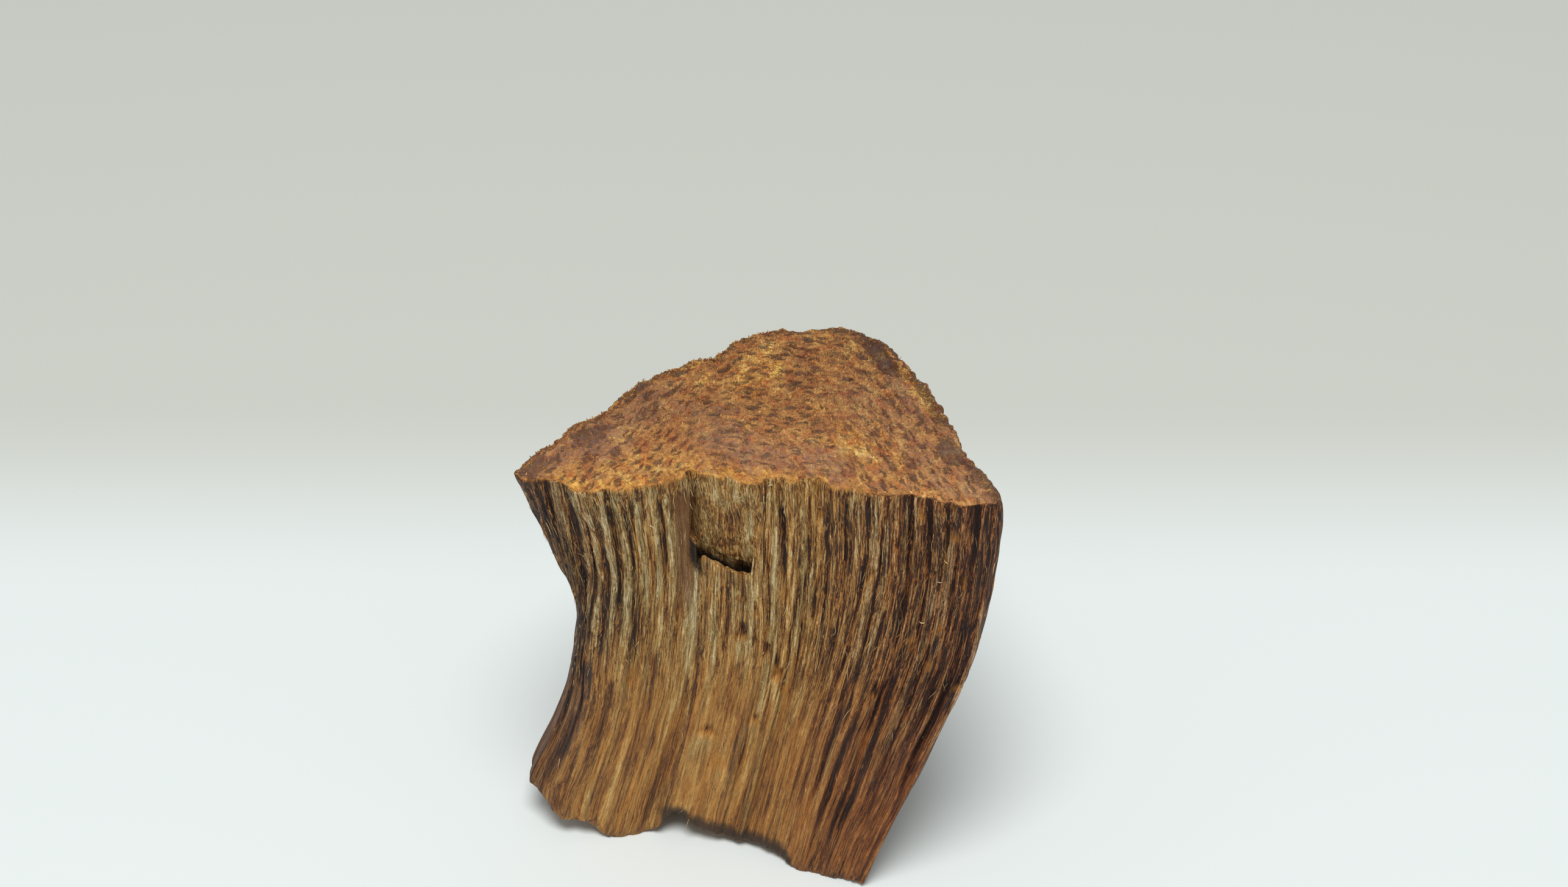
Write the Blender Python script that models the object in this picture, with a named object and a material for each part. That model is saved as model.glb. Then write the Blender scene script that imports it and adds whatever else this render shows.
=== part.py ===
"""A chip of agarwood: one short length of resinous wood that stands on its broken lower end.

The upper end is cut across the grain and shows the end grain. The front is split along the grain, so
its furrows follow the bent fibres from the rim to the feet. A flake has torn out under the front rim,
and the lower end rests on three small flat feet.

Lengths are in millimetres and become metres when the meshes are made. In the frame of the cut, x runs
to the right, y away from the split front and z up from the surface that the chip stands on.
"""

import math

import bmesh
import bpy
from mathutils import Vector, noise
from mathutils.geometry import delaunay_2d_cdt

MM = 0.001

# Driving dimensions
HEIGHT = 27.0
RIM_ROUNDING = 0.16
FRONT_COLUMN_STEP = 0.24
BACK_COLUMN_STEP = 0.56
LEVEL_COUNT = 21
TOP_POINT_STEP = 0.74
BOTTOM_POINT_STEP = 0.82

# Outline of the cut top along the split front, from the left corner to the right one
FRONT_RIM = [
    (-12.6, 2.1), (-12.3, 1.6), (-11.4, 1.5), (-10.3, 1.4), (-9.7, 1.0), (-9.4, 0.6), (-8.5, 0.5),
    (-7.7, 0.85), (-7.3, 0.5), (-6.8, 0.8), (-5.6, 1.1), (-4.8, 1.2), (-4.4, 1.5), (-3.9, 1.6),
    (-3.7, 2.2), (-3.2, 2.3), (-2.9, 1.7), (-2.5, 1.3), (-2.0, 1.3), (-1.8, 1.7), (-1.4, 1.8),
    (-0.9, 1.4), (-0.1, 1.1), (0.2, 1.3), (0.4, 1.8), (1.5, 1.8), (1.7, 1.2), (2.0, 1.25),
    (2.3, 1.6), (3.4, 1.6), (3.8, 0.8), (4.4, 0.55), (4.8, 0.75), (5.2, 0.7), (5.7, 0.3),
    (6.6, 0.15), (7.4, 0.25), (8.1, 0.25), (8.3, 0.05), (9.1, 0.0), (9.6, -0.45), (10.0, -0.3),
    (10.6, -0.65), (11.5, -0.5), (12.3, -0.5), (12.45, -0.1),
]

# The same outline round the back, from the right corner to the left one
BACK_RIM = [
    (12.45, -0.1), (12.3, 0.8), (11.9, 1.6), (11.4, 2.4), (10.9, 3.4), (10.5, 4.7), (10.2, 5.7),
    (9.9, 7.1), (9.3, 8.4), (8.9, 9.5), (8.3, 10.8), (7.7, 11.6), (7.1, 12.9), (6.2, 13.8),
    (5.2, 14.7), (4.4, 14.9), (3.0, 14.6), (2.3, 14.2), (1.2, 14.5), (-0.3, 14.1), (-1.5, 13.3),
    (-1.8, 12.6), (-3.0, 11.7), (-3.6, 11.8), (-3.9, 11.2), (-5.4, 10.5), (-6.4, 9.6), (-7.0, 8.8),
    (-7.6, 7.9), (-8.6, 6.7), (-9.6, 6.2), (-10.1, 5.6), (-10.4, 4.7), (-11.0, 4.2), (-11.4, 4.0),
    (-12.2, 3.0), (-12.6, 2.1),
]

# Grain guides: a fibre that leaves the cut top at the first x passes these x at these heights
GUIDE_HEIGHTS = (27.0, 23.0, 20.0, 16.5, 13.0, 10.0, 6.5, 3.0, 0.0)
GRAIN_GUIDES = [
    (-12.6, (-12.6, -11.7, -10.8, -9.9, -10.2, -10.6, -11.6, -13.0, -13.6)),
    (-9.7, (-9.7, -9.0, -8.7, -9.0, -9.4, -9.7, -10.6, -11.8, -12.5)),
    (-4.0, (-4.0, -3.9, -3.9, -4.1, -4.4, -4.8, -5.5, -6.3, -7.0)),
    (0.0, (0.0, 0.05, 0.0, 0.0, -0.2, -0.7, -1.3, -2.0, -2.6)),
    (5.5, (5.5, 5.5, 5.3, 4.8, 4.1, 3.4, 2.7, 2.0, 1.4)),
    (12.45, (12.45, 12.25, 11.95, 11.4, 10.4, 9.3, 8.1, 6.8, 5.9)),
]

# The fibres also lean back on the left and forward on the right as they go down
LEAN_LEFT = 3.4
LEAN_RIGHT = -1.1
LEAN_SHARE = (0.0, 0.17, 0.31, 0.48, 0.64, 0.76, 0.85, 0.86, 0.81)
DEPTH_SHARE = (1.0, 0.99, 0.97, 0.95, 0.92, 0.9, 0.88, 0.86, 0.85)

# The split face stands out a little under the rounded rim, and its flutes start below the rim
RIM_FLARE_DEPTH = 4.0
FLUTE_START_DEPTH = 1.6

# The scallops of the rim fade into calmer flutes within this depth
SCALLOP_DEPTH = 5.0
SCALLOP_LEFT = 0.12
CALM_SPAN_FRONT = 2.4
CALM_SPAN_BACK = 1.1

# Flutes of the split face: wavelengths across and along the grain, relief and noise seed
SWELL = (4.2, 30.0, 0.3, 3.7)
FLUTE = (1.25, 14.0, 0.15, 11.2)
RIB = (0.62, 9.0, 0.1, 23.5)
BACK_ROUGHNESS = 2.0

# Shallow torn patches and crumbs of the cut top: wavelength, relief and noise seed
TOP_PATCH = (3.4, 0.22, 41.0)
TOP_CRUMB = (0.9, 0.13, 57.0)
TOP_LOSS = 0.08

# A smooth scar left of the torn flake
SCAR_X = -3.85
SCAR_HALF_WIDTH = 0.46
SCAR_EDGE = 0.2
SCAR_TOP = 25.6
SCAR_FOOT = 16.5
SCAR_FADE = 4.0
SCAR_DEPTH = 0.22
SCAR_SMOOTHNESS = 0.9

# Torn flake: its outline on the front, and its floor as a plane y = start + slopes
LIP = [(-3.6, 22.1), (-3.3, 21.5), (-2.75, 21.2), (-2.1, 20.65), (-1.2, 20.2), (-0.3, 20.05)]
FLAKE_TOP_LEFT = (-3.55, 28.0)
FLAKE_TOP_RIGHT = (0.5, 28.0)
FLAKE_FLOOR_AT_RIM = 0.95
FLAKE_FLOOR_PER_X = -0.28
FLAKE_FLOOR_PER_DEPTH = 0.2
CREVICE_DEPTH = 1.4
CREVICE_FRONT = 2.0
CREVICE_NARROWING = 0.25
CREVICE_OVERLAP = 0.3
CREVICE_EXTRA_DEPTH = 0.12
CLEAR_OF_FRONT = -4.0
SLOT = [(-3.57, 21.9), (-3.1, 21.3), (-2.95, 24.4), (-3.1, 26.4), (-3.5, 26.2)]
SLOT_EXTRA_DEPTH = 0.6
SLOT_OVERLAP = 0.3

# Lower end: three flat feet, an arch between them, a notch and a broken left corner
FEET = [((3.6, 0.8), 2.3), ((-7.5, 3.9), 2.1), ((-0.8, 11.7), 2.9)]
FOOT_FLAT_SHARE = 0.62
FOOT_FADE_SHARE = 1.35
HOLLOW_HEIGHT = 0.3
HOLLOW = (3.0, 0.18, 71.0)
ARCH_FOOT_X = -1.2
ARCH_CROWN_X = -5.2
ARCH_SLOPE = 0.2
WORN_EDGE = 0.45
WORN_NORMAL_REACH = 4
WORN_CORNER_COLUMNS = 6
WORN_SHARE = 0.35
WORN_ARCH_SHARE = 0.9
WORN_ARCH = (-5.0, -4.2, 0.4, 2.0)
NOTCH_X = -5.0
NOTCH_HALF_WIDTH = 0.95
NOTCH_CROWN = 0.15
NOTCH_HEIGHT = 0.75
NOTCH_REACH = 6.0
NOTCH_FADE = 4.0
BROKEN_CORNER_X = -11.2
BROKEN_CORNER_SLOPE = 0.8

# Colour of the split face, as linear red, green and blue
WOOD_COLOUR = (0.17, 0.095, 0.04, 1.0)
WOOD_ROUGHNESS = 0.68


def between(low, high, value):
    """Smooth step from 0 at low to 1 at high."""
    share = min(max((value - low) / (high - low), 0.0), 1.0)
    return share * share * (3.0 - 2.0 * share)


def curve_value(heights, values, height):
    """Value at a height on a smooth curve through values at falling heights."""
    height = min(max(height, heights[-1]), heights[0])
    last = len(heights) - 1
    index = next(i for i in range(last) if height >= heights[i + 1])
    span = heights[index] - heights[index + 1]
    t = (heights[index] - height) / span

    def slope(i):
        before = max(i - 1, 0)
        after = min(i + 1, last)
        return (values[after] - values[before]) / (heights[before] - heights[after]) * span

    rise = values[index + 1] - values[index]
    start, end = slope(index), slope(index + 1)
    cubic = start + end - 2.0 * rise
    square = 3.0 * rise - 2.0 * start - end
    return values[index] + start * t + square * t * t + cubic * t * t * t


def fibre_position(a, b, height):
    """Plan position, at a height, of the fibre that leaves the cut top at (a, b)."""
    xs = [curve_value(GUIDE_HEIGHTS, guide, height) for _, guide in GRAIN_GUIDES]
    starts = [start for start, _ in GRAIN_GUIDES]
    index = next((i for i in range(len(starts) - 2) if a < starts[i + 1]), len(starts) - 2)
    share = (a - starts[index]) / (starts[index + 1] - starts[index])
    x = xs[index] + (xs[index + 1] - xs[index]) * share
    across = (a - starts[0]) / (starts[-1] - starts[0])
    lean = LEAN_LEFT + (LEAN_RIGHT - LEAN_LEFT) * across
    y = b * curve_value(GUIDE_HEIGHTS, DEPTH_SHARE, height)
    return x, y + lean * curve_value(GUIDE_HEIGHTS, LEAN_SHARE, height)


def resampled(points, step):
    """Points at even steps along a polyline, with its first point and without its last."""
    spans = [math.dist(p, q) for p, q in zip(points, points[1:])]
    count = max(round(sum(spans) / step), 2)
    found = []
    index, passed = 0, 0.0
    for i in range(count):
        distance = sum(spans) * i / count
        while distance > passed + spans[index]:
            passed += spans[index]
            index += 1
        share = (distance - passed) / spans[index]
        p, q = points[index], points[index + 1]
        found.append((p[0] + (q[0] - p[0]) * share, p[1] + (q[1] - p[1]) * share))
    return found


def calmed(points, span):
    """The open line with each point moved to the mean of its neighbours, and its ends kept."""
    calm = []
    for point in points:
        reach = min(span, math.dist(point, points[0]) + 0.1, math.dist(point, points[-1]) + 0.1)
        near = [(p, 1.0 - math.dist(p, point) / reach) for p in points if math.dist(p, point) < reach]
        weight = sum(w for _, w in near)
        calm.append((sum(p[0] * w for p, w in near) / weight, sum(p[1] * w for p, w in near) / weight))
    return calm


def grain_noise(a, b, height, waves):
    """Noise that is drawn out along the fibres."""
    across, along, amount, seed = waves
    return amount * noise.noise(Vector((a / across, b / across, height / along + seed)))


def plan_noise(x, y, waves):
    """Noise over the plan of a broken or a cut end."""
    span, amount, seed = waves
    return amount * noise.noise(Vector((x / span, y / span, seed)))


def relief(a, b, height, front):
    """How far the split surface stands out at a fibre and a height."""
    flutes = sum(grain_noise(a, b, height, waves) for waves in (SWELL, FLUTE, RIB))
    if not front:
        return flutes * BACK_ROUGHNESS
    scar = between(SCAR_HALF_WIDTH + SCAR_EDGE, SCAR_HALF_WIDTH - SCAR_EDGE, abs(a - SCAR_X))
    scar *= between(SCAR_TOP + SCAR_EDGE, SCAR_TOP - SCAR_EDGE, height)
    scar *= between(SCAR_FOOT, SCAR_FOOT + SCAR_FADE, height)
    return flutes * (1.0 - SCAR_SMOOTHNESS * scar) - SCAR_DEPTH * scar


def top_height(a, b):
    """The cut top is level, with shallow torn patches and small crumbs."""
    return min(HEIGHT - TOP_LOSS + plan_noise(a, b, TOP_PATCH) + plan_noise(a, b, TOP_CRUMB), HEIGHT)


def foot_height(x, y):
    """Height of the lower end above the surface that the chip stands on."""
    lift = HOLLOW_HEIGHT + plan_noise(x, y, HOLLOW)
    lift += ARCH_SLOPE * (ARCH_FOOT_X - min(max(x, ARCH_CROWN_X), ARCH_FOOT_X))
    for (foot_x, foot_y), radius in FEET:
        away = math.dist((x, y), (foot_x, foot_y)) / radius
        lift *= between(FOOT_FLAT_SHARE, FOOT_FADE_SHARE, away)
    notch = between(NOTCH_HALF_WIDTH, NOTCH_CROWN, abs(x - NOTCH_X))
    notch *= between(NOTCH_REACH + NOTCH_FADE, NOTCH_REACH, y)
    corner = max(BROKEN_CORNER_X - x, 0.0) * BROKEN_CORNER_SLOPE
    return lift + NOTCH_HEIGHT * notch + corner


def worn_inset(x, columns_from_corner, front):
    """How far the bottom edge is worn back, most along the arch between the front feet."""
    start, full_start, full_end, end = WORN_ARCH
    arch = between(start, full_start, x) * between(end, full_end, x) if front else 0.0
    inset = WORN_EDGE * (WORN_SHARE + (WORN_ARCH_SHARE - WORN_SHARE) * arch)
    return inset * between(0, WORN_CORNER_COLUMNS, columns_from_corner)


def outward(loop, index, reach):
    """Direction in plan that points out of the closed loop, from the points within reach of one."""
    before, after = loop[index - reach], loop[(index + reach) % len(loop)]
    return Vector((after[1] - before[1], before[0] - after[0])).normalized()


def side_rings():
    """Rings of points from the lower end to the rim, each point on the fibre of its column."""
    rim = resampled(FRONT_RIM, FRONT_COLUMN_STEP)
    front_count = len(rim)
    rim += resampled(BACK_RIM, BACK_COLUMN_STEP)
    calm = calmed(rim[:front_count], CALM_SPAN_FRONT) + calmed(rim[front_count:], CALM_SPAN_BACK)
    rings = []
    for level in range(LEVEL_COUNT + 1):
        ring = []
        for edge, quiet in zip(rim, calm):
            low = foot_height(*fibre_position(*quiet, WORN_EDGE))
            high = top_height(*edge) - RIM_ROUNDING
            worn = low + WORN_EDGE
            height = worn + (high - worn) * (level - 1) / (LEVEL_COUNT - 1) if level else low
            scallop = SCALLOP_LEFT + (1.0 - SCALLOP_LEFT) * between(high - SCALLOP_DEPTH, high, height)
            a = quiet[0] + (edge[0] - quiet[0]) * scallop
            b = quiet[1] + (edge[1] - quiet[1]) * scallop
            ring.append((a, b, height))
        plan = [fibre_position(*point) for point in ring]
        shaped = []
        for i, (a, b, height) in enumerate(ring):
            front = i < front_count
            out = outward(plan, i, 1 if level else WORN_NORMAL_REACH)
            stand = relief(a, b, height, front) * between(HEIGHT, HEIGHT - FLUTE_START_DEPTH, height)
            stand += RIM_ROUNDING * between(HEIGHT - RIM_FLARE_DEPTH, HEIGHT, height)
            if level == 0:
                corner_distance = min(i, abs(i - front_count), len(plan) - i)
                stand -= worn_inset(plan[i][0], corner_distance, front)
            shaped.append((plan[i][0] + out.x * stand, plan[i][1] + out.y * stand, height))
        rings.append(shaped)
    top = rings[-1]
    crest = []
    for i, (x, y, height) in enumerate(top):
        out = outward(top, i, 1) * RIM_ROUNDING
        crest.append((x - out.x, y - out.y, height + RIM_ROUNDING))
    rings.append(crest)
    return rings


def inside(x, y, loop):
    """Whether the point lies inside the closed loop."""
    crossings = 0
    for p, q in zip(loop, loop[1:] + loop[:1]):
        if (p[1] > y) != (q[1] > y) and x < p[0] + (q[0] - p[0]) * (y - p[1]) / (q[1] - p[1]):
            crossings += 1
    return crossings % 2 == 1


def inner_points(loop, step, margin):
    """Points in offset rows inside the loop, shaken a little and clear of its edge."""
    xs = [p[0] for p in loop]
    ys = [p[1] for p in loop]
    row_step = step * 0.87
    found = []
    for row in range(math.ceil((max(ys) - min(ys)) / row_step)):
        for column in range(math.ceil((max(xs) - min(xs)) / step) + 1):
            x = min(xs) + (column + 0.5 * (row % 2)) * step
            y = min(ys) + row * row_step
            x += 0.3 * step * noise.noise(Vector((x * 3.1, y * 3.1, 5.0)))
            y += 0.3 * step * noise.noise(Vector((x * 3.1, y * 3.1, 9.0)))
            if inside(x, y, loop) and min(math.dist(p[:2], (x, y)) for p in loop) > margin:
                found.append((x, y))
    return found


def add_cap(mesh, edge_verts, step, height_at, facing_up):
    """Fills a ring of vertices with a fine net whose inner points follow a height."""
    loop = [tuple(v.co.xy / MM) for v in edge_verts]
    extra = inner_points(loop, step, 0.4 * step)
    points = [Vector(p) for p in loop + extra]
    found = delaunay_2d_cdt(points, [], [list(range(len(loop)))], 1, 1e-5)
    verts, faces, sources = found[0], found[2], found[3]
    made = []
    for point, source in zip(verts, sources):
        if source and source[0] < len(loop):
            made.append(edge_verts[source[0]])
        else:
            made.append(mesh.verts.new((point.x * MM, point.y * MM, height_at(point.x, point.y) * MM)))
    for face in faces:
        corners = [made[i] for i in face]
        mesh.faces.new(corners if facing_up else corners[::-1])


def add_chip(material):
    """The whole chip: a ring extruded up the grain level by level, then closed at both ends."""
    rings = side_rings()
    mesh = bmesh.new()
    below = [mesh.verts.new(Vector(p) * MM) for p in rings[0]]
    first = below
    for ring in rings[1:]:
        above = [mesh.verts.new(Vector(p) * MM) for p in ring]
        for i in range(len(above)):
            after = (i + 1) % len(above)
            mesh.faces.new((below[i], below[after], above[after], above[i]))
        below = above
    add_cap(mesh, below, TOP_POINT_STEP, top_height, True)
    add_cap(mesh, first, BOTTOM_POINT_STEP, foot_height, False)
    bmesh.ops.recalc_face_normals(mesh, faces=mesh.faces)
    data = bpy.data.meshes.new("agarwood")
    mesh.to_mesh(data)
    mesh.free()
    data.materials.append(material)
    data.shade_smooth()
    data.set_sharp_from_angle(angle=math.radians(40.0))
    chip = bpy.data.objects.new("agarwood", data)
    bpy.context.scene.collection.objects.link(chip)
    return chip


def flake_floor(x, height):
    """Plane of the surface that the torn flake has left."""
    return FLAKE_FLOOR_AT_RIM + FLAKE_FLOOR_PER_X * x + FLAKE_FLOOR_PER_DEPTH * (HEIGHT - height)


def lip_height(x):
    """Height of the straight line through the ends of the flake's lower lip."""
    (left, high), (right, low) = LIP[1], LIP[-1]
    return high + (low - high) * (x - left) / (right - left)


def add_cutter(name, outline, front_at, back_at):
    """A closed slab with an outline in x and height, between two surfaces y = f(x, height)."""
    mesh = bmesh.new()
    front = [mesh.verts.new(Vector((x, front_at(x, z), z)) * MM) for x, z in outline]
    back = [mesh.verts.new(Vector((x, back_at(x, z), z)) * MM) for x, z in outline]
    mesh.faces.new(front)
    mesh.faces.new(back[::-1])
    for i in range(len(outline)):
        after = (i + 1) % len(outline)
        mesh.faces.new((front[i], back[i], back[after], front[after]))
    bmesh.ops.recalc_face_normals(mesh, faces=mesh.faces)
    data = bpy.data.meshes.new(name)
    mesh.to_mesh(data)
    mesh.free()
    cutter = bpy.data.objects.new(name, data)
    cutter.hide_render = True
    cutter.display_type = "WIRE"
    bpy.context.scene.collection.objects.link(cutter)
    return cutter


def flake_cutters():
    """The torn flake, the crevice behind its lower lip and the deep slot along its left side."""
    flake = add_cutter(
        "torn_flake",
        [FLAKE_TOP_LEFT, *LIP, FLAKE_TOP_RIGHT],
        lambda x, z: CLEAR_OF_FRONT,
        flake_floor,
    )
    narrow_lip = [(x, z + CREVICE_OVERLAP) for x, z in LIP[1:]]
    trough = [(x, z - CREVICE_DEPTH) for x, z in reversed(LIP[1:])]
    crevice = add_cutter(
        "crevice",
        narrow_lip + trough,
        lambda x, z: CREVICE_FRONT + CREVICE_NARROWING * (lip_height(x) - z),
        lambda x, z: flake_floor(x, z) + CREVICE_EXTRA_DEPTH,
    )
    slot = add_cutter(
        "slot",
        SLOT,
        lambda x, z: flake_floor(x, z) - SLOT_OVERLAP,
        lambda x, z: flake_floor(x, z) + SLOT_EXTRA_DEPTH,
    )
    return [flake, crevice, slot]


def wood():
    material = bpy.data.materials.new("wood")
    material.use_nodes = True
    shader = material.node_tree.nodes["Principled BSDF"]
    shader.inputs["Base Color"].default_value = WOOD_COLOUR
    shader.inputs["Roughness"].default_value = WOOD_ROUGHNESS
    shader.inputs["Metallic"].default_value = 0.0
    return material


def main():
    for obj in list(bpy.data.objects):
        bpy.data.objects.remove(obj)
    chip = add_chip(wood())
    cutters = flake_cutters()

    # The chip's origin is the middle of its box, at the level of its feet
    xs = [v.co.x for v in chip.data.vertices]
    ys = [v.co.y for v in chip.data.vertices]
    cut_frame = bpy.data.objects.new("cut_frame", None)
    cut_frame.location = (-(min(xs) + max(xs)) / 2, -(min(ys) + max(ys)) / 2, 0.0)
    bpy.context.scene.collection.objects.link(cut_frame)
    chip.parent = cut_frame
    for cutter in cutters:
        cutter.parent = cut_frame
        cut = chip.modifiers.new(cutter.name, "BOOLEAN")
        cut.operation = "DIFFERENCE"
        cut.solver = "EXACT"
        cut.object = cutter
    bpy.context.view_layer.update()


main()
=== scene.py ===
import math

import bpy
import numpy as np
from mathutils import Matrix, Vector, noise
from mathutils.kdtree import KDTree


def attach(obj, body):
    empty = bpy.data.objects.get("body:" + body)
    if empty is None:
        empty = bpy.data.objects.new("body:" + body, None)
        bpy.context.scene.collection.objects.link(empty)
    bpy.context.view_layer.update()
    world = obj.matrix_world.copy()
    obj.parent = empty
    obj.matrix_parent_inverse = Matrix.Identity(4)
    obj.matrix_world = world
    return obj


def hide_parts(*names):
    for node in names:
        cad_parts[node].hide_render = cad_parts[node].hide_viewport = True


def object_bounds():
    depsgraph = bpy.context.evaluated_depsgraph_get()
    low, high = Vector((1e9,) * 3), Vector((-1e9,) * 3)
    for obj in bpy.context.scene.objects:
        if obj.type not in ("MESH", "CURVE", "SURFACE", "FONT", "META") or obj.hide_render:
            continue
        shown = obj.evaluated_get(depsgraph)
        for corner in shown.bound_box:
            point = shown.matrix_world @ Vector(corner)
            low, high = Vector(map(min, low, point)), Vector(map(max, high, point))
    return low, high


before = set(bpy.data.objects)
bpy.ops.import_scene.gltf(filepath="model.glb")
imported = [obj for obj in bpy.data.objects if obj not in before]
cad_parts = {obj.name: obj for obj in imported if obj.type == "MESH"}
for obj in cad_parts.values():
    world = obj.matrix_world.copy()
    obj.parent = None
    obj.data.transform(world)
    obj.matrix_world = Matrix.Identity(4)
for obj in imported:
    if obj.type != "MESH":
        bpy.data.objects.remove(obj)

cad_low, cad_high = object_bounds()
MM = 0.001


# The camera
# It looks down at the chip from the front at 38 degrees, as the photograph does, with a narrow lens
# and no shift.
CAMERA_PLACE = (1.456 * MM, -169.261 * MM, 157.218 * MM)
LOOKS_DOWN_BY = 38.0  # degrees
LENS_ANGLE = 22.0
bpy.ops.object.camera_add(location=CAMERA_PLACE, rotation=(math.radians(90.0 - LOOKS_DOWN_BY), 0.0, 0.0))
camera = bpy.context.object
camera.data.sensor_fit = "HORIZONTAL"
camera.data.angle = math.radians(LENS_ANGLE)
camera.data.clip_start = 0.005
camera.data.clip_end = 20.0
bpy.context.scene.camera = camera
bpy.context.scene.view_settings.view_transform = "Standard"


# The table and the light
# A sheet of matt white paper lies under the chip, and a little way behind it a soft grey is painted on
# it as shade, standing in for a backdrop that rises. A wide soft lamp hangs high above and a little in
# front, and pale light comes from all round.
def tone(red, green, blue):
    """A colour from its everyday 0 to 255 values, as the shaders take it."""
    parts = [value / 255.0 for value in (red, green, blue)]
    linear = [p / 12.92 if p < 0.04045 else ((p + 0.055) / 1.055) ** 2.4 for p in parts]
    return (*linear, 1.0)


def place(tree, kind, values=None, **settings):
    """A shader node of this kind, with its settings, and a value or a link for each named socket."""
    node = tree.nodes.new("ShaderNode" + kind)
    for name, value in settings.items():
        setattr(node, name, value)
    for socket, value in (values or {}).items():
        if isinstance(value, bpy.types.NodeSocket):
            tree.links.new(value, node.inputs[socket])
        else:
            node.inputs[socket].default_value = value
    return node


def fresh_material(name):
    """A new material: its node tree and its Principled shader."""
    material = bpy.data.materials.new(name)
    material.use_nodes = True
    return material, material.node_tree, material.node_tree.nodes["Principled BSDF"]


def shift_between(tree, value, low, high, to_low=0.0, to_high=1.0):
    """A smooth change from one value to another as the input passes from low to high."""
    values = {"Value": value, "From Min": low, "From Max": high, "To Min": to_low, "To Max": to_high}
    return place(tree, "MapRange", values, interpolation_type="SMOOTHSTEP").outputs["Result"]


def mixed(tree, share, first, second, blend_type="MIX"):
    """Two colours mixed by a share."""
    node = place(tree, "Mix", {0: share, 6: first, 7: second}, data_type="RGBA", blend_type=blend_type)
    return node.outputs[2]


def reckoned(tree, operation, *values):
    """The result of one sum on numbers."""
    node = place(tree, "Math", dict(enumerate(values)), operation=operation)
    return node.outputs[0]


SHEET_SIZE = 4.0
WHITE_PAPER, PAPER_IN_PAINTED_SHADE = tone(224, 231, 232), tone(200, 203, 197)
GREY_FROM, GREY_TO = 17.0 * MM, 37.0 * MM  # how far behind the chip's middle the sheet turns grey
ROOM_COLOUR, ROOM_STRENGTH = (0.97, 1.0, 0.98, 1.0), 0.39
LAMP_PLACE, LAMP_AIM = (-0.008, -0.2, 0.5), (0.0, 0.0, 0.012)
LAMP_WIDTH, LAMP_WATTS, LAMP_COLOUR = 0.24, 2.4, (1.0, 0.985, 0.96)

bpy.ops.mesh.primitive_plane_add(size=SHEET_SIZE, location=(0.0, 0.0, 0.0))
table = bpy.context.object
table.name = "table"
bpy.ops.object.mode_set(mode="EDIT")
bpy.ops.mesh.subdivide(number_cuts=3)
bpy.ops.object.mode_set(mode="OBJECT")
paper, tree, shader = fresh_material("white_paper")
place_on_sheet = place(tree, "TexCoord").outputs["Object"]
away = place(tree, "SeparateXYZ", {0: place_on_sheet}).outputs["Y"]
# Painted shade: the sheet is painted grey from GREY_FROM to GREY_TO behind the chip
behind = shift_between(tree, away, GREY_FROM, GREY_TO)
tree.links.new(mixed(tree, behind, WHITE_PAPER, PAPER_IN_PAINTED_SHADE), shader.inputs["Base Color"])
grit = place(tree, "TexNoise", {"Vector": place_on_sheet, "Scale": 900.0, "Detail": 3.0})
soft_grit = place(tree, "Bump", {"Height": grit.outputs[0], "Strength": 0.05, "Distance": 0.02 * MM})
tree.links.new(soft_grit.outputs["Normal"], shader.inputs["Normal"])
shader.inputs["Roughness"].default_value = 0.9
shader.inputs["Specular IOR Level"].default_value = 0.1
table.data.materials.append(paper)

world = bpy.data.worlds.new("pale_room")
world.use_nodes = True
world.node_tree.nodes["Background"].inputs["Color"].default_value = ROOM_COLOUR
world.node_tree.nodes["Background"].inputs["Strength"].default_value = ROOM_STRENGTH
bpy.context.scene.world = world

bpy.ops.object.light_add(type="AREA", location=LAMP_PLACE)
lamp = bpy.context.object
lamp.name = "soft_lamp"
lamp.data.shape = "DISK"
lamp.data.size = LAMP_WIDTH
lamp.data.energy = LAMP_WATTS
lamp.data.color = LAMP_COLOUR
lamp.rotation_euler = (Vector(LAMP_AIM) - lamp.location).to_track_quat("-Z", "Y").to_euler()


# The chip
# One short length of resinous agarwood, split along the grain, cut across at the top and broken at the
# foot. Its split sides are fibrous and furrowed, and the cut shows darker resin between the fibres.
# The relief follows fibres that bend, which no modifier can do, so the points are moved in code.
CUT_X, CUT_Y = 0.056, -6.880  # where the frame of the cut lies in this one, in millimetres
# How the fibres bend: for six places across the cut, where the fibre that starts there lies at each height
GUIDE_HEIGHTS = (27.0, 23.0, 20.0, 16.5, 13.0, 10.0, 6.5, 3.0, 0.0)
GRAIN_GUIDES = {
    -12.6: (-12.6, -11.7, -10.8, -9.9, -10.2, -10.6, -11.6, -13.0, -13.6),
    -9.7: (-9.7, -9.0, -8.7, -9.0, -9.4, -9.7, -10.6, -11.8, -12.5),
    -4.0: (-4.0, -3.9, -3.9, -4.1, -4.4, -4.8, -5.5, -6.3, -7.0),
    0.0: (0.0, 0.05, 0.0, 0.0, -0.2, -0.7, -1.3, -2.0, -2.6),
    5.5: (5.5, 5.5, 5.3, 4.8, 4.1, 3.4, 2.7, 2.0, 1.4),
    12.45: (12.45, 12.25, 11.95, 11.4, 10.4, 9.3, 8.1, 6.8, 5.9),
}
GUIDE_STARTS = np.array(list(GRAIN_GUIDES))
LEAN_LEFT, LEAN_RIGHT = 3.4, -1.1  # how far the fibres lean back lower down, at each side
# How much of that lean, and of the depth at the cut, there is at each guide height
LEAN_SHARE = (0.0, 0.17, 0.31, 0.48, 0.64, 0.76, 0.85, 0.86, 0.81)
DEPTH_SHARE = (1.0, 0.99, 0.97, 0.95, 0.92, 0.9, 0.88, 0.86, 0.85)
CORNER_TURN = 0.11  # how fast the fibres run out round the left corner
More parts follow.
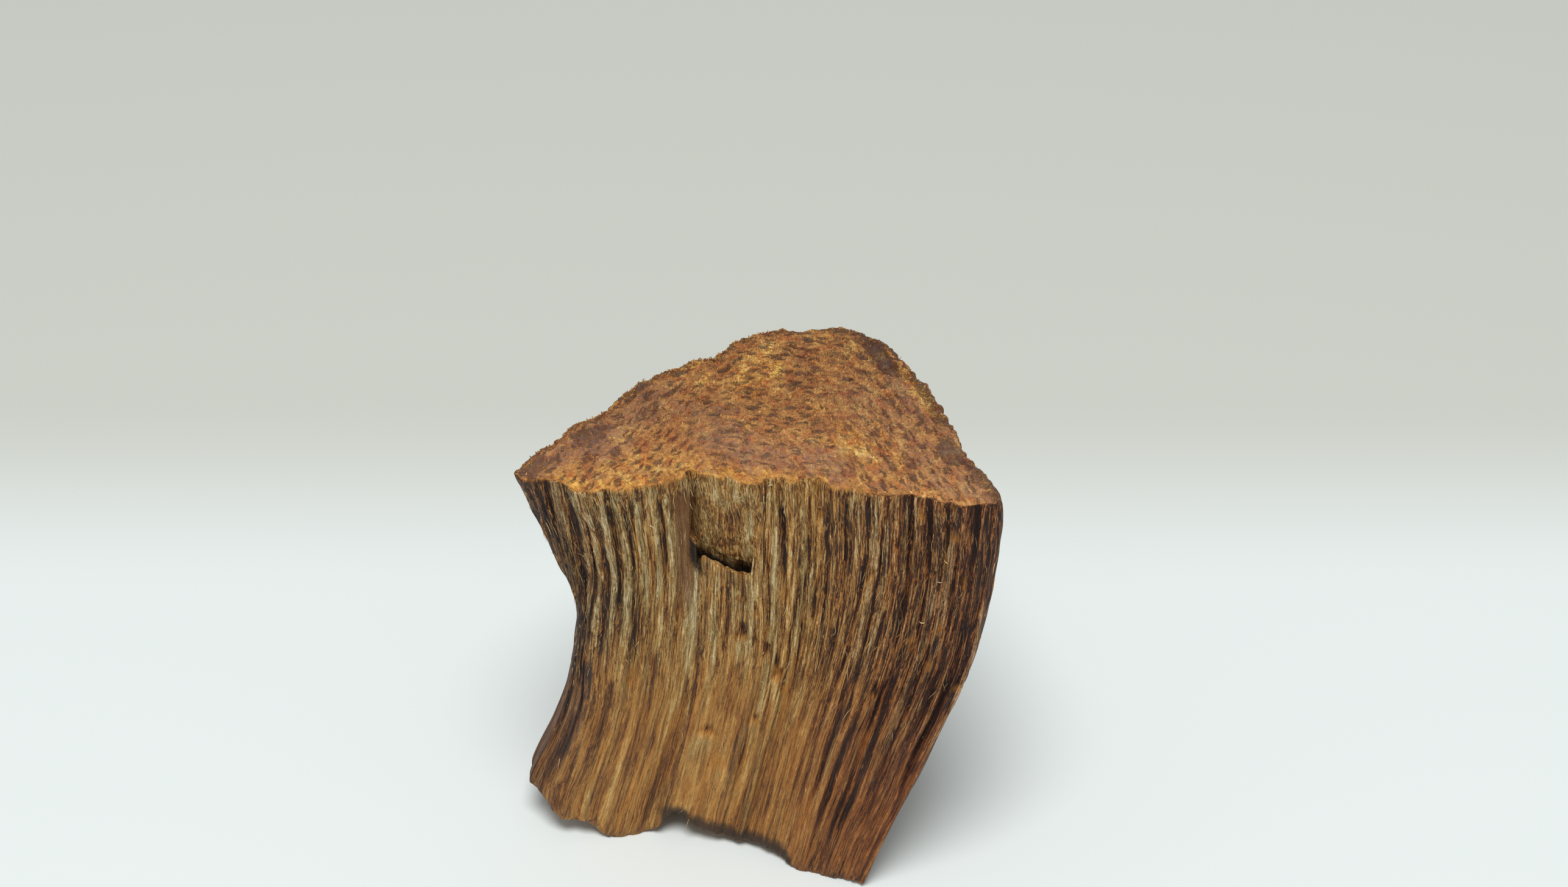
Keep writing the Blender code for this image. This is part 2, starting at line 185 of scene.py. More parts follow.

# Dark furrows of the split front, dark partly from the wood itself and partly as painted shade: the fibre
# at the top and at the foot, top, foot, half width, depth
FURROWS = [
    (-11.9, -12.0, 27.0, 20.0, 0.12, 0.10), (-11.35, -11.4, 25.5, 21.0, 0.08, 0.06),
    (-11.0, -10.95, 27.0, 19.0, 0.07, 0.13), (-10.0, -9.95, 27.0, 15.0, 0.16, 0.15),
    (-9.27, -9.3, 24.5, 14.0, 0.06, 0.08), (-8.65, -8.7, 24.6, 12.0, 0.08, 0.08),
    (-7.95, -8.1, 25.2, 13.5, 0.08, 0.09), (-7.1, -7.1, 25.8, 16.5, 0.07, 0.09),
    (-6.72, -6.75, 26.0, 20.0, 0.07, 0.09), (-6.0, -5.95, 26.2, 20.5, 0.13, 0.08),
    (-5.1, -5.1, 25.6, 19.0, 0.08, 0.09), (-1.55, -1.5, 25.0, 20.5, 0.05, 0.05),
    (0.35, 0.35, 26.8, 20.0, 0.07, 0.06), (1.32, 1.55, 25.0, 18.0, 0.09, 0.15),
    (2.72, 2.75, 25.8, 10.0, 0.07, 0.08), (3.62, 3.8, 25.5, 17.5, 0.06, 0.08),
    (4.62, 4.72, 26.4, 12.5, 0.07, 0.09), (5.75, 5.45, 26.6, 13.5, 0.08, 0.10),
    (6.58, 6.35, 25.0, 14.5, 0.05, 0.10), (7.1, 7.05, 19.0, 14.8, 0.07, 0.08),
    (7.58, 7.6, 27.0, 23.4, 0.08, 0.09), (8.0, 8.25, 27.0, 3.0, 0.1, 0.15),
    (9.0, 9.3, 27.0, 12.5, 0.09, 0.15), (9.92, 9.95, 26.6, 23.2, 0.08, 0.12),
    (10.45, 10.95, 24.4, 11.0, 0.09, 0.13), (11.42, 11.6, 27.0, 6.0, 0.14, 0.16),
    (12.05, 12.05, 25.0, 12.0, 0.07, 0.07), (8.6, 8.8, 15.0, 2.5, 0.16, 0.1),
    (9.8, 10.1, 17.0, 4.0, 0.2, 0.12), (7.3, 7.0, 13.0, 3.0, 0.16, 0.1),
    (6.2, 6.0, 12.0, 4.0, 0.14, 0.08), (4.9, 4.6, 11.0, 3.0, 0.12, 0.07),
    (3.5, 3.2, 10.0, 2.0, 0.14, 0.07), (-8.0, -8.2, 12.0, 4.0, 0.16, 0.07),
    (-9.4, -9.5, 13.0, 5.0, 0.2, 0.1), (-10.7, -10.8, 17.0, 6.0, 0.2, 0.12),
    (-5.4, -5.2, 14.0, 5.0, 0.14, 0.06), (-3.3, -3.1, 12.0, 4.5, 0.18, 0.08),
    (0.3, 0.5, 11.0, 5.0, 0.12, 0.06),
]

# Pale ridges between them: the fibre, top, foot and half width
RIDGES = [
    (-10.62, 27.0, 16.0, 0.24), (-9.6, 27.0, 23.0, 0.2), (-9.07, 27.0, 15.0, 0.13),
    (-8.33, 26.2, 15.0, 0.18), (-7.48, 27.0, 15.0, 0.27), (-6.47, 25.6, 18.0, 0.17),
    (-5.5, 26.8, 18.0, 0.17), (-4.75, 26.4, 17.0, 0.14), (-3.45, 20.5, 10.0, 0.28),
    (-2.2, 20.2, 10.0, 0.16), (-1.2, 26.8, 17.0, 0.12), (-0.45, 26.5, 12.0, 0.2), (0.9, 26.0, 8.0, 0.15),
    (2.45, 25.5, 16.0, 0.09), (4.92, 26.8, 24.5, 0.14), (6.15, 27.0, 14.0, 0.2), (6.8, 25.2, 14.0, 0.13),
    (7.8, 26.5, 16.0, 0.11), (8.36, 26.6, 18.0, 0.08), (9.55, 26.0, 9.0, 0.22), (10.2, 24.8, 9.0, 0.2),
    (12.3, 20.0, 9.0, 0.16),
]

# Small holes and broken fibre ends in the front: fibre, height, half width, half height, depth
HOLES = [
    (-6.65, 25.4, 0.1, 0.3, 0.2), (-7.87, 21.0, 0.08, 0.22, 0.14), (-6.75, 20.7, 0.1, 0.2, 0.12),
    (-4.85, 25.0, 0.09, 0.22, 0.16), (1.3, 24.7, 0.13, 0.35, 0.25), (3.62, 23.7, 0.09, 0.4, 0.22),
    (7.12, 23.9, 0.07, 0.16, 0.16), (7.37, 23.6, 0.08, 0.18, 0.18), (6.15, 21.6, 0.08, 0.3, 0.16),
    (9.75, 22.35, 0.08, 0.16, 0.2), (9.5, 21.85, 0.08, 0.14, 0.2), (10.98, 21.8, 0.08, 0.16, 0.16),
    (12.0, 22.5, 0.08, 0.2, 0.14), (10.45, 15.0, 0.14, 0.14, 0.14), (7.75, 13.9, 0.18, 0.2, 0.16),
    (-3.15, 18.0, 0.12, 0.2, 0.12), (-0.75, 16.25, 0.22, 0.25, 0.16), (-0.1, 15.6, 0.16, 0.3, 0.14),
    (0.75, 14.95, 0.24, 0.28, 0.18), (1.35, 13.9, 0.14, 0.5, 0.16), (1.75, 13.35, 0.22, 0.22, 0.16),
    (-6.8, 12.2, 0.16, 0.25, 0.1), (2.1, 12.3, 0.1, 0.6, 0.1),
]

# Thin tongues of split wood that end in a lit edge: fibre, height, half width, how far they stand out
TONGUES = [
    (-0.85, 15.7, 0.3, 0.16), (1.6, 12.9, 0.35, 0.22), (0.75, 14.4, 0.3, 0.14), (-1.75, 8.3, 0.5, 0.3),
    (0.75, 9.6, 0.4, 0.2), (-0.1, 17.4, 0.15, 0.1), (7.75, 13.5, 0.25, 0.1), (12.1, 14.8, 0.25, 0.12),
]
TONGUE_LENGTH = 2.6

# Orange resin that shows in the front: fibre, height, half width, half height
RESIN = [
    (8.55, 25.7, 0.2, 0.5), (10.3, 24.5, 0.28, 0.4), (10.0, 22.8, 0.16, 0.4), (11.1, 21.7, 0.18, 0.3),
    (6.05, 21.1, 0.2, 0.35), (10.25, 18.4, 0.2, 0.4), (8.85, 17.2, 0.16, 0.4), (1.5, 13.2, 0.4, 0.25),
    (10.2, 15.8, 0.2, 0.35), (2.3, 11.9, 0.2, 0.35), (-6.8, 12.3, 0.35, 0.9), (-0.9, 6.2, 0.4, 0.6),
]

# Patches on the cut top, each in the frame of the cut: x, y, half length, half width, turn and strength.
# Resin makes the dark ones.
DARK_PATCHES = [
    (6.65, 12.0, 1.9, 0.42, -62, 1.0), (10.2, 3.9, 1.3, 0.4, -66, 0.8), (-8.6, 5.4, 1.2, 0.5, 38, 0.6),
    (-11.6, 2.6, 1.1, 0.55, 60, 0.6), (-9.3, 4.4, 0.9, 0.35, 40, 0.5), (-6.0, 7.0, 1.1, 0.3, 62, 0.5),
    (9.3, 7.6, 2.6, 0.22, -66, 0.6), (6.9, 13.3, 0.8, 0.35, -35, 0.6), (6.35, 12.9, 0.95, 0.42, -62, 1.0),
    (6.85, 11.3, 0.8, 0.4, -68, 1.0), (5.55, 12.2, 0.45, 0.22, -35, 0.9),
    (5.7, 10.7, 0.45, 0.2, -20, 0.85), (4.8, 10.1, 0.4, 0.14, -5, 0.8), (4.4, 13.2, 0.3, 0.18, -10, 0.7),
    (4.5, 14.5, 0.6, 0.3, 0, 0.7), (2.75, 13.6, 0.35, 0.2, -15, 0.85), (4.7, 11.9, 0.35, 0.15, -10, 0.6),
    (2.05, 9.7, 0.4, 0.24, -10, 0.8), (1.7, 10.7, 0.3, 0.18, -10, 0.6), (1.1, 11.8, 0.4, 0.13, -8, 0.85),
    (0.2, 12.8, 0.35, 0.13, 15, 0.95), (1.9, 12.9, 0.4, 0.12, -25, 0.85),
    (-0.2, 11.3, 0.45, 0.12, 0, 0.7), (-1.1, 11.9, 0.35, 0.14, 30, 0.95),
    (-1.75, 11.1, 0.55, 0.15, 42, 0.95), (-0.3, 7.65, 0.42, 0.18, 0, 0.95),
    (-2.2, 7.0, 0.35, 0.15, 8, 0.85), (-3.4, 7.0, 0.5, 0.14, 0, 0.5), (-2.7, 8.3, 0.4, 0.2, 5, 0.6),
    (-5.4, 7.4, 0.7, 0.15, 80, 0.85), (-5.8, 8.7, 0.6, 0.17, 58, 0.95), (-6.25, 9.4, 0.4, 0.22, 50, 0.9),
    (-6.8, 8.2, 0.7, 0.17, 60, 0.85), (-4.5, 9.1, 0.7, 0.2, 55, 0.75), (-4.2, 10.6, 0.5, 0.25, 25, 0.7),
    (-8.3, 5.9, 0.5, 0.25, 35, 0.75), (-9.3, 5.3, 0.8, 0.28, 32, 0.75), (-8.6, 4.6, 0.9, 0.28, 38, 0.55),
    (-7.4, 3.8, 0.45, 0.22, 50, 0.6), (-8.9, 3.1, 0.7, 0.25, 55, 0.45), (-11.5, 3.0, 0.7, 0.28, 60, 0.85),
    (-12.2, 2.2, 0.5, 0.35, 80, 0.85), (-10.7, 3.1, 0.5, 0.2, 45, 0.6), (-11.7, 1.7, 0.5, 0.25, 80, 0.75),
    (-1.6, 5.6, 0.6, 0.35, -10, 0.45), (1.1, 5.8, 0.3, 0.2, 0, 0.5), (2.6, 4.6, 0.4, 0.2, -40, 0.5),
    (3.4, 2.9, 0.6, 0.25, -35, 0.4), (3.6, 8.8, 0.4, 0.14, 0, 0.65), (5.6, 9.3, 0.35, 0.2, -40, 0.65),
    (6.6, 9.4, 0.4, 0.16, -45, 0.6), (3.6, 7.5, 0.4, 0.14, -40, 0.55), (5.4, 6.8, 0.3, 0.14, -40, 0.55),
    (7.3, 7.7, 0.9, 0.25, -65, 0.5), (8.6, 6.3, 0.4, 0.17, 40, 0.75), (9.4, 6.5, 0.5, 0.16, -65, 0.55),
    (9.9, 3.6, 1.0, 0.42, -66, 0.85), (10.7, 3.1, 0.6, 0.28, -65, 0.65), (7.0, 2.6, 0.5, 0.22, -55, 0.55),
    (8.1, 1.4, 0.6, 0.16, -55, 0.65), (9.1, 0.9, 0.6, 0.16, -60, 0.55), (8.0, 3.2, 0.8, 0.14, -70, 0.55),
    (11.3, 1.4, 0.6, 0.2, -65, 0.6), (8.45, 10.4, 0.6, 0.25, -65, 0.7), (12.0, 0.2, 0.4, 0.3, -60, 0.5),
]
PALE_PATCHES = [
    (-0.3, 10.8, 2.0, 1.4, 80, 0.45), (4.8, 4.6, 1.6, 1.0, -50, 0.65), (-6.0, 2.6, 3.0, 0.9, 15, 0.4),
    (8.6, 8.7, 2.3, 0.28, -66, 0.8), (8.9, 5.2, 0.8, 0.5, -60, 0.5), (0.95, 10.8, 0.85, 0.32, 80, 1.0),
    (-0.8, 10.1, 0.9, 0.3, -80, 0.9), (0.5, 12.6, 0.7, 0.3, 80, 0.8), (-0.4, 9.0, 0.7, 0.4, -60, 0.6),
    (-2.8, 10.0, 0.5, 0.3, 60, 0.6), (-0.6, 6.0, 0.25, 0.2, 0, 0.8), (4.6, 4.8, 1.1, 0.55, -45, 0.65),
    (6.5, 5.6, 1.0, 0.17, -75, 0.8), (7.3, 3.2, 1.2, 0.17, -70, 0.7), (5.8, 3.0, 0.7, 0.4, -40, 0.5),
    (8.6, 8.2, 1.3, 0.3, -68, 0.6), (-4.6, 3.3, 0.7, 0.3, 15, 0.6), (-7.2, 4.7, 0.3, 0.2, 30, 0.6),
    (-2.3, 1.55, 0.28, 0.2, 0, 1.0), (3.6, 1.4, 0.5, 0.3, -30, 0.6), (11.9, 0.9, 0.7, 0.2, -62, 0.7),
    (-3.4, 11.3, 0.5, 0.3, 40, 0.6), (-2.4, 12.3, 0.5, 0.3, 40, 0.5),
]
HAZY_PATCHES = [
    (9.0, 4.0, 3.0, 1.6, -62, 0.55), (6.0, 7.5, 3.0, 1.6, -62, 0.4), (-10.8, 3.2, 1.6, 1.0, 50, 0.8),
    (-6.2, 7.6, 2.6, 1.3, 57, 0.7), (-8.6, 4.9, 2.2, 1.2, 45, 0.9), (-3.0, 7.3, 2.2, 0.8, 5, 0.6),
    (-1.2, 4.6, 2.2, 1.1, -60, 0.9), (0.8, 3.4, 2.0, 0.9, -60, 0.7), (3.3, 2.4, 2.0, 0.8, -55, 0.9),
    (8.0, 8.2, 2.6, 0.5, -68, 0.9), (11.2, 0.6, 1.6, 0.7, -60, 0.9), (7.4, 6.2, 2.2, 0.5, -68, 0.6),
    (5.6, 8.6, 2.0, 0.8, -60, 0.5), (10.3, 4.2, 2.0, 0.7, -66, 0.6), (-11.6, 2.2, 1.0, 0.8, 60, 0.8),
    (-0.6, 3.5, 1.7, 0.8, -67, 0.9), (3.8, 3.0, 1.6, 0.6, -60, 0.8), (-2.6, 4.8, 1.2, 0.7, -60, 0.7),
    (9.4, 1.2, 1.3, 0.6, -60, 0.8), (-7.8, 4.0, 1.6, 0.8, 50, 0.8), (8.0, 8.8, 1.6, 0.4, -68, 0.7),
    (11.9, 0.0, 0.5, 0.35, -60, 0.6), (5.9, 8.0, 1.2, 0.5, -60, 0.4), (-9.9, 3.6, 1.2, 0.7, 45, 0.6),
]

# The lower lip of the torn flake, in x and height in the frame of the cut, and the crevice behind it
LIP_X = (-3.6, -3.3, -2.75, -2.1, -1.2, -0.3)
LIP_HEIGHT = (22.1, 21.5, 21.2, 20.65, 20.2, 20.05)
LIP_FRONT, CREVICE_REACH = 1.9, 1.55
SCAR_FIBRE, SCAR_HALF_WIDTH = -3.95, 0.5
SCAR_TOP, SCAR_FOOT = 25.7, 15.5

# Rough relief: its height, its size across the grain and along it, all in millimetres, and a seed
WIDE_RIBS, NARROW_RIBS, STRANDS = (0.09, 0.62, 9.0, 1.0), (0.11, 0.3, 5.0, 2.0), (0.08, 0.15, 2.2, 3.0)
CRUMBS, FINE_CRUMBS = (0.11, 0.75, 0.75, 7.0), (0.1, 0.36, 0.36, 8.0)
RAGGED_RIM = (0.08, 0.6, 0.9, 9.0)
RIDGE_RISE = 0.06

# How far the furrows stray, given in the same way, and how their depth varies and how edges fray, where
# a share stands for the height
STRAY, KINKS, UNEVENNESS = (0.07, 1.5, 3.0, 5.0), (0.05, 0.35, 0.8, 6.0), (0.9, 0.8, 3.5, 11.0)
RIDGE_FRAY, RESIN_FRAY, PATCH_FRAY = (0.12, 0.25, 0.5, 12.0), (0.5, 0.25, 0.35, 13.0), (0.45, 0.3, 9.0, 14.0)
OUT_OF_REACH = 9.0  # stands for the distance to an edge where it doesn't matter


def step_between(low, high, value):
    """Smooth step from 0 at low to 1 at high, for a whole row of values."""
    share = np.clip((value - low) / (high - low), 0.0, 1.0)
    return share * share * (3.0 - 2.0 * share)


def guide_values(values, heights):
    """Values at each height on the smooth curve of one grain guide."""
    levels, values = np.array(GUIDE_HEIGHTS), np.array(values)
    heights = np.clip(heights, levels[-1], levels[0])
    last = len(levels) - 1
    index = np.clip(np.searchsorted(-levels, -heights) - 1, 0, last - 1)
    span = levels[index] - levels[index + 1]
    t = (levels[index] - heights) / span

    def slope(at):
        before, after = np.maximum(at - 1, 0), np.minimum(at + 1, last)
        return (values[after] - values[before]) / (levels[before] - levels[after]) * span

    rise = values[index + 1] - values[index]
    start, end = slope(index), slope(index + 1)
    curve = (3.0 * rise - 2.0 * start - end) * t * t + (start + end - 2.0 * rise) * t * t * t
    return values[index] + start * t + curve


def guides_at(heights):
    """Where every grain guide is at each of these heights."""
    return np.array([guide_values(values, heights) for values in GRAIN_GUIDES.values()])


def lean_at(a, heights):
    """How far back the fibres that start at a lean at these heights."""
    across = (a - GUIDE_STARTS[0]) / (GUIDE_STARTS[-1] - GUIDE_STARTS[0])
    return (LEAN_LEFT + (LEAN_RIGHT - LEAN_LEFT) * across) * guide_values(LEAN_SHARE, heights)


def fibres_at(places):
    """For each place, in millimetres, where its fibre crosses the cut top, and its height."""
    x, y, z = (places - (CUT_X, CUT_Y, 0.0)).T
    guides = guides_at(z)
    index = np.clip((x > guides).sum(axis=0) - 1, 0, len(GUIDE_STARTS) - 2)
    row = np.arange(len(x))
    left, right = guides[index, row], guides[index + 1, row]
    start, span = GUIDE_STARTS[index], GUIDE_STARTS[index + 1] - GUIDE_STARTS[index]
    a = start + span * (x - left) / (right - left)
    return np.stack([a, (y - lean_at(a, z)) / guide_values(DEPTH_SHARE, z), z], axis=1)


def rough(height, across, along, seed):
    """Noise of this height and size for each point of the chip, drawn out along the fibres."""
    scaled = fibres / (across, across, along) + (seed, 0.0, seed)
    return height * np.array([noise.noise(Vector(p)) for p in scaled])


def hump(distance, half_width):
    """A round hump that is 1 at its middle and 0 outside its half width."""
    return np.clip(1.0 - (distance / half_width) ** 2, 0.0, 1.0) ** 1.5


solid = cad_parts["agarwood"]
chip = bpy.data.objects.new("agarwood_chip", solid.data.copy())
bpy.context.scene.collection.objects.link(chip)
bpy.ops.object.select_all(action="DESELECT")
bpy.context.view_layer.objects.active = chip
chip.select_set(True)
chip.data.materials.clear()
bpy.ops.mesh.customdata_custom_splitnormals_clear()
bpy.ops.object.mode_set(mode="EDIT")
bpy.ops.mesh.select_all(action="SELECT")
bpy.ops.mesh.remove_doubles(threshold=1e-6)
bpy.ops.mesh.tris_convert_to_quads(face_threshold=math.radians(50.0), shape_threshold=math.radians(70.0))
bpy.ops.mesh.select_all(action="DESELECT")
bpy.ops.mesh.edges_select_sharp(sharpness=math.radians(55.0))
bpy.ops.transform.edge_crease(value=0.7)
bpy.ops.object.mode_set(mode="OBJECT")
rounding = chip.modifiers.new("rounding", "SUBSURF")
rounding.levels = rounding.render_levels = 2
bpy.ops.object.modifier_apply(modifier=rounding.name)

count = len(chip.data.vertices)
places = np.empty(count * 3, np.float32)
chip.data.vertices.foreach_get("co", places)
places = places.reshape(-1, 3).astype(float) / MM
normals = np.empty(count * 3, np.float32)
chip.data.vertex_normals.foreach_get("vector", normals)
normals = normals.reshape(-1, 3).astype(float)
fibres = fibres_at(places)
a, b, height = fibres.T
cut_x, cut_y = places[:, 0] - CUT_X, places[:, 1] - CUT_Y
top_height = height.max()

# Which face each point belongs to, as a share, and the line along the grain that its colour follows
cut_end = step_between(0.45, 0.8, normals[:, 2]) * step_between(25.9, 26.4, height)
broken_end = step_between(0.45, 0.8, -normals[:, 2]) * step_between(2.0, 1.0, height)
side = 1.0 - np.maximum(cut_end, broken_end)
front = step_between(0.25, -0.2, normals[:, 1]) * side
near_rim = step_between(1.4, 0.5, top_height - height)
streak = a + CORNER_TURN * np.minimum(top_height - height, 9.0) * step_between(-8.0, -12.0, a)

# The painted shade inside the crevice, the painted highlight on the top edge of the lip in front of it
# and the smooth scar on its left
over_lip = height - np.interp(cut_x, LIP_X, LIP_HEIGHT)
in_recess = step_between(-3.7, -3.5, cut_x) * step_between(-0.05, -0.3, cut_x)
behind_lip = in_recess * step_between(2.02, 2.2, cut_y) * step_between(4.2, 3.6, cut_y)
past_lip = 0.79 * over_lip + 0.62 * (cut_y - LIP_FRONT)
# Painted shade over the crevice behind the lip, as far as the camera looks into it past the lip
crevice_shade = behind_lip * step_between(0.55, 0.35, past_lip) * step_between(-CREVICE_REACH - 0.3, -1.2, over_lip)
# Painted highlight along the top edge of the lip
lip_highlight = in_recess * step_between(2.25, 2.1, cut_y) * hump(over_lip + 0.02, 0.3)
scar = step_between(SCAR_HALF_WIDTH + 0.1, SCAR_HALF_WIDTH - 0.1, abs(a - SCAR_FIBRE)) * front
scar *= step_between(SCAR_TOP + 0.3, SCAR_TOP - 0.3, height)
scar *= step_between(SCAR_FOOT, SCAR_FOOT + 4.0, height)

# The furrows, ridges, holes, tongues and resin of the front
furrow = np.zeros(count)
dent = np.zeros(count)
wander = rough(*STRAY) + rough(*KINKS)
uneven = np.clip(0.85 + rough(*UNEVENNESS), 0.3, 1.3)
for top_fibre, foot_fibre, top, foot, half_width, depth in FURROWS:
    middle = foot_fibre + (top_fibre - foot_fibre) * np.clip((height - foot) / (top - foot), 0.0, 1.0)
    shape = hump(streak + wander - middle, 1.9 * half_width)
    run = step_between(top + 0.4, top - 0.4, height) * step_between(foot - 1.0, foot + 2.0, height)
    shape *= run * front
    shape *= uneven
    furrow = np.maximum(furrow, shape)
    dent = np.maximum(dent, shape * depth)
ridge = np.zeros(count)
fray = rough(*RIDGE_FRAY)
for middle, top, foot, half_width in RIDGES:
    shape = step_between(1.25, 0.75, (abs(streak + wander - middle) + fray) / half_width)
    run = step_between(top + 0.3, top - 0.5, height) * step_between(foot - 1.5, foot + 2.5, height)
    shape *= run * front
    ridge = np.maximum(ridge, shape)
hole = np.zeros(count)
for fibre, level, half_width, half_height, depth in HOLES:
    shape = hump(np.hypot((streak - fibre) / half_width, (height - level) / half_height), 1.5) * front
    hole = np.maximum(hole, shape)
    dent = np.maximum(dent, shape * depth)
stand = np.zeros(count)
lit_edge = np.zeros(count)
for fibre, level, half_width, reach in TONGUES:
    over = hump(streak - fibre, 1.4 * half_width) * front
    below_arc = level - 0.5 * (streak - fibre) ** 2 / half_width - height
    down = step_between(-0.1, 0.1, below_arc) * step_between(TONGUE_LENGTH, 0.0, below_arc)
    stand = np.maximum(stand, reach * over * down)
    ridge = np.maximum(ridge, 0.8 * over * down)
    # Painted highlight along the top edge of each tongue
    lit_edge = np.maximum(lit_edge, over * hump(below_arc - 0.12, 0.25))
    # Painted shade: a dark line in the gap just above each tongue, laid into the furrows
    furrow = np.maximum(furrow, over * hump(below_arc + 0.22, 0.28))
resin = np.zeros(count)
resin_fray = rough(*RESIN_FRAY)
for fibre, level, half_width, half_height in RESIN:
    distance = np.hypot((streak - fibre) / half_width, (height - level) / half_height) + resin_fray
    resin = np.maximum(resin, step_between(1.3, 0.5, distance) * front)


def patched(patches, fray):
    """How strongly each place of the top lies in one of these patches, whose edges are frayed."""
    found = np.zeros(count)
    for x, y, half_length, half_width, turn, strength in patches:
        along_x, along_y = math.cos(math.radians(turn)), math.sin(math.radians(turn))
        along = (cut_x - x) * along_x + (cut_y - y) * along_y
        side_ways = (cut_y - y) * along_x - (cut_x - x) * along_y
        distance = np.hypot(along / half_length, side_ways / half_width) + fray
        found = np.maximum(found, strength * step_between(1.45, 0.55, distance))
    return found


top_fray = rough(*PATCH_FRAY)
dark_patch = patched(DARK_PATCHES, top_fray)
pale_patch = patched(PALE_PATCHES, top_fray)
hazy_patch = patched(HAZY_PATCHES, 1.2 * top_fray)

# The relief: ribs and strands along the sides, crumbs on the cut and on the broken end
ribs = rough(*WIDE_RIBS) + rough(*NARROW_RIBS)
strands = rough(*STRANDS)
calm = (1.0 - 0.85 * scar) * (1.0 - 0.45 * step_between(14.0, 6.0, height))
grain = (ribs * (1.3 - 0.3 * front) + strands * (0.5 + 0.5 * front)) * calm * side
crumbs = rough(*CRUMBS) + rough(*FINE_CRUMBS)
far_back = step_between(5.0, 11.0, cut_y)
ends = (crumbs * (0.75 + 0.4 * far_back) - 0.03 - 0.08 * dark_patch) * (1.0 - side)
ragged = rough(*RAGGED_RIM) * near_rim * side
move = grain + ends + ragged + RIDGE_RISE * ridge * calm + stand - dent * (1.0 - crevice_shade)
places += normals * move[:, None]
places[:, 2] = np.clip(places[:, 2], 0.0, cad_high.z / MM)
chip.data.vertices.foreach_set("co", (places * MM).astype(np.float32).ravel())
chip.data.update()

# Painted shade in the furrows, found again from the relief itself, so that the dark follows every dip
dip_shade = step_between(0.0, -0.06, grain) * side
crests = step_between(0.04, 0.12, grain) * (side - front)
# A painted highlight along the rounded front edge of the rim, fading out towards its right end
front_edge_highlight = step_between(0.34, 0.08, top_height - height) * (1.0 - step_between(0.85, 0.98, normals[:, 2]))
front_edge_highlight *= step_between(0.5, 0.0, normals[:, 1]) * step_between(8.0, 3.0, cut_x)


def distance_to(edge, asked):
    """How far each point that is asked for is from the nearest point of an edge."""
    edge_places = KDTree(count)
    for index in np.nonzero(edge)[0]:
        edge_places.insert(places[index], int(index))
    edge_places.balance()
    distance = np.full(count, OUT_OF_REACH)
    for index in np.nonzero(asked)[0]:
        distance[index] = edge_places.find(places[index])[2]
    return distance


# The painted highlight along the front rim, the dark back rim and the painted shade along the lower
# front edge of the foot
rim = (cut_end > 0.2) & (cut_end < 0.8)
foot_edge = (broken_end > 0.4) & (height > 0.3) & (height < 3.0) & (cut_y < 8.0)
to_rim = distance_to(rim & (normals[:, 1] < 0.2), cut_end > 0.2)
to_back_rim = distance_to(rim & (normals[:, 1] > 0.0), cut_end > 0.2)
to_foot = distance_to(foot_edge, (front > 0.3) & (height < 3.0))
rim_highlight = step_between(1.1, 0.1, to_rim + 2.5 * top_fray) * cut_end
rim_highlight *= step_between(7.0, 2.5, cut_x) * step_between(-11.2, -9.6, cut_x)
rim_shade = step_between(0.8, 0.1, to_back_rim + 1.5 * top_fray)
rim_shade *= 0.5 + 0.3 * step_between(2.0, 6.0, cut_x)
dark_patch = np.maximum(dark_patch, rim_shade * cut_end)
# Painted shade along the lower front edge of the foot, from the notch towards the right foot
foot_edge_shade = step_between(1.2, 0.85, to_foot) * step_between(-5.9, -5.3, cut_x) * front


def store(mesh, name, values):
    """Keeps one number for each point of the mesh, for its material."""
    mesh.attributes.new(name, "FLOAT", "POINT").data.foreach_set("value", values.astype(np.float32))


def store_grain(mesh, lines):
    """Keeps for each point of the mesh where it is among the fibres, for its material."""
    fibre_values = mesh.attributes.new("fibre", "FLOAT_VECTOR", "POINT").data
    fibre_values.foreach_set("vector", lines.astype(np.float32).ravel())


seen = {
    "cut_end": np.maximum(cut_end, 0.6 * broken_end),
    # The furrow darkening: partly the wood's dark lines, partly painted shade in holes, dips and above the
    # tongues
    "furrow": np.maximum(np.maximum(furrow, hole), (0.35 + 0.3 * (1.0 - front)) * dip_shade),
    "ridge": np.maximum(ridge, 0.8 * crests),
    "crevice_shade": crevice_shade,
    "scar": scar,
    # The resin tone also paints the highlights on the tongues' top edges and on the lip
    "resin": np.maximum(resin, np.maximum(0.9 * lit_edge, 0.35 * lip_highlight)),
    "rim": front_edge_highlight,
    "rim_highlight": rim_highlight,
    "foot_edge_shade": foot_edge_shade,
    "dark_patch": dark_patch,
    "pale_patch": pale_patch,
    "hazy_patch": hazy_patch,
}
for name, values in seen.items():
    store(chip.data, name, values)
grain_lines = np.stack([streak, b, height], axis=1)
store_grain(chip.data, grain_lines)
bpy.ops.object.shade_smooth_by_angle(angle=math.radians(50.0))


def new_group(name, inputs, outputs):
    """An empty node group with these inputs and outputs: its tree, what comes in and what goes out."""
    group = bpy.data.node_groups.new(name, "ShaderNodeTree")
    for label, kind in inputs.items():
        group.interface.new_socket(label, in_out="INPUT", socket_type="NodeSocket" + kind)
    for label, kind in outputs.items():
        group.interface.new_socket(label, in_out="OUTPUT", socket_type="NodeSocket" + kind)
    return group, group.nodes.new("NodeGroupInput").outputs, group.nodes.new("NodeGroupOutput").inputs


def stretched(tree, vector, across, along):
    """The coordinates divided by a size across the grain and a size along it."""
    scale = (1.0 / across, 1.0 / across, 1.0 / along)
    return place(tree, "VectorMath", {0: vector, 1: scale}, operation="MULTIPLY").outputs[0]


def cloud(tree, vector, detail=3.0, roughness=0.55, distortion=0.0):
    """Soft noise at the scale of the coordinates."""
    values = {"Vector": vector, "Scale": 1.0, "Detail": detail, "Roughness": roughness}
    return place(tree, "TexNoise", {**values, "Distortion": distortion}).outputs[0]


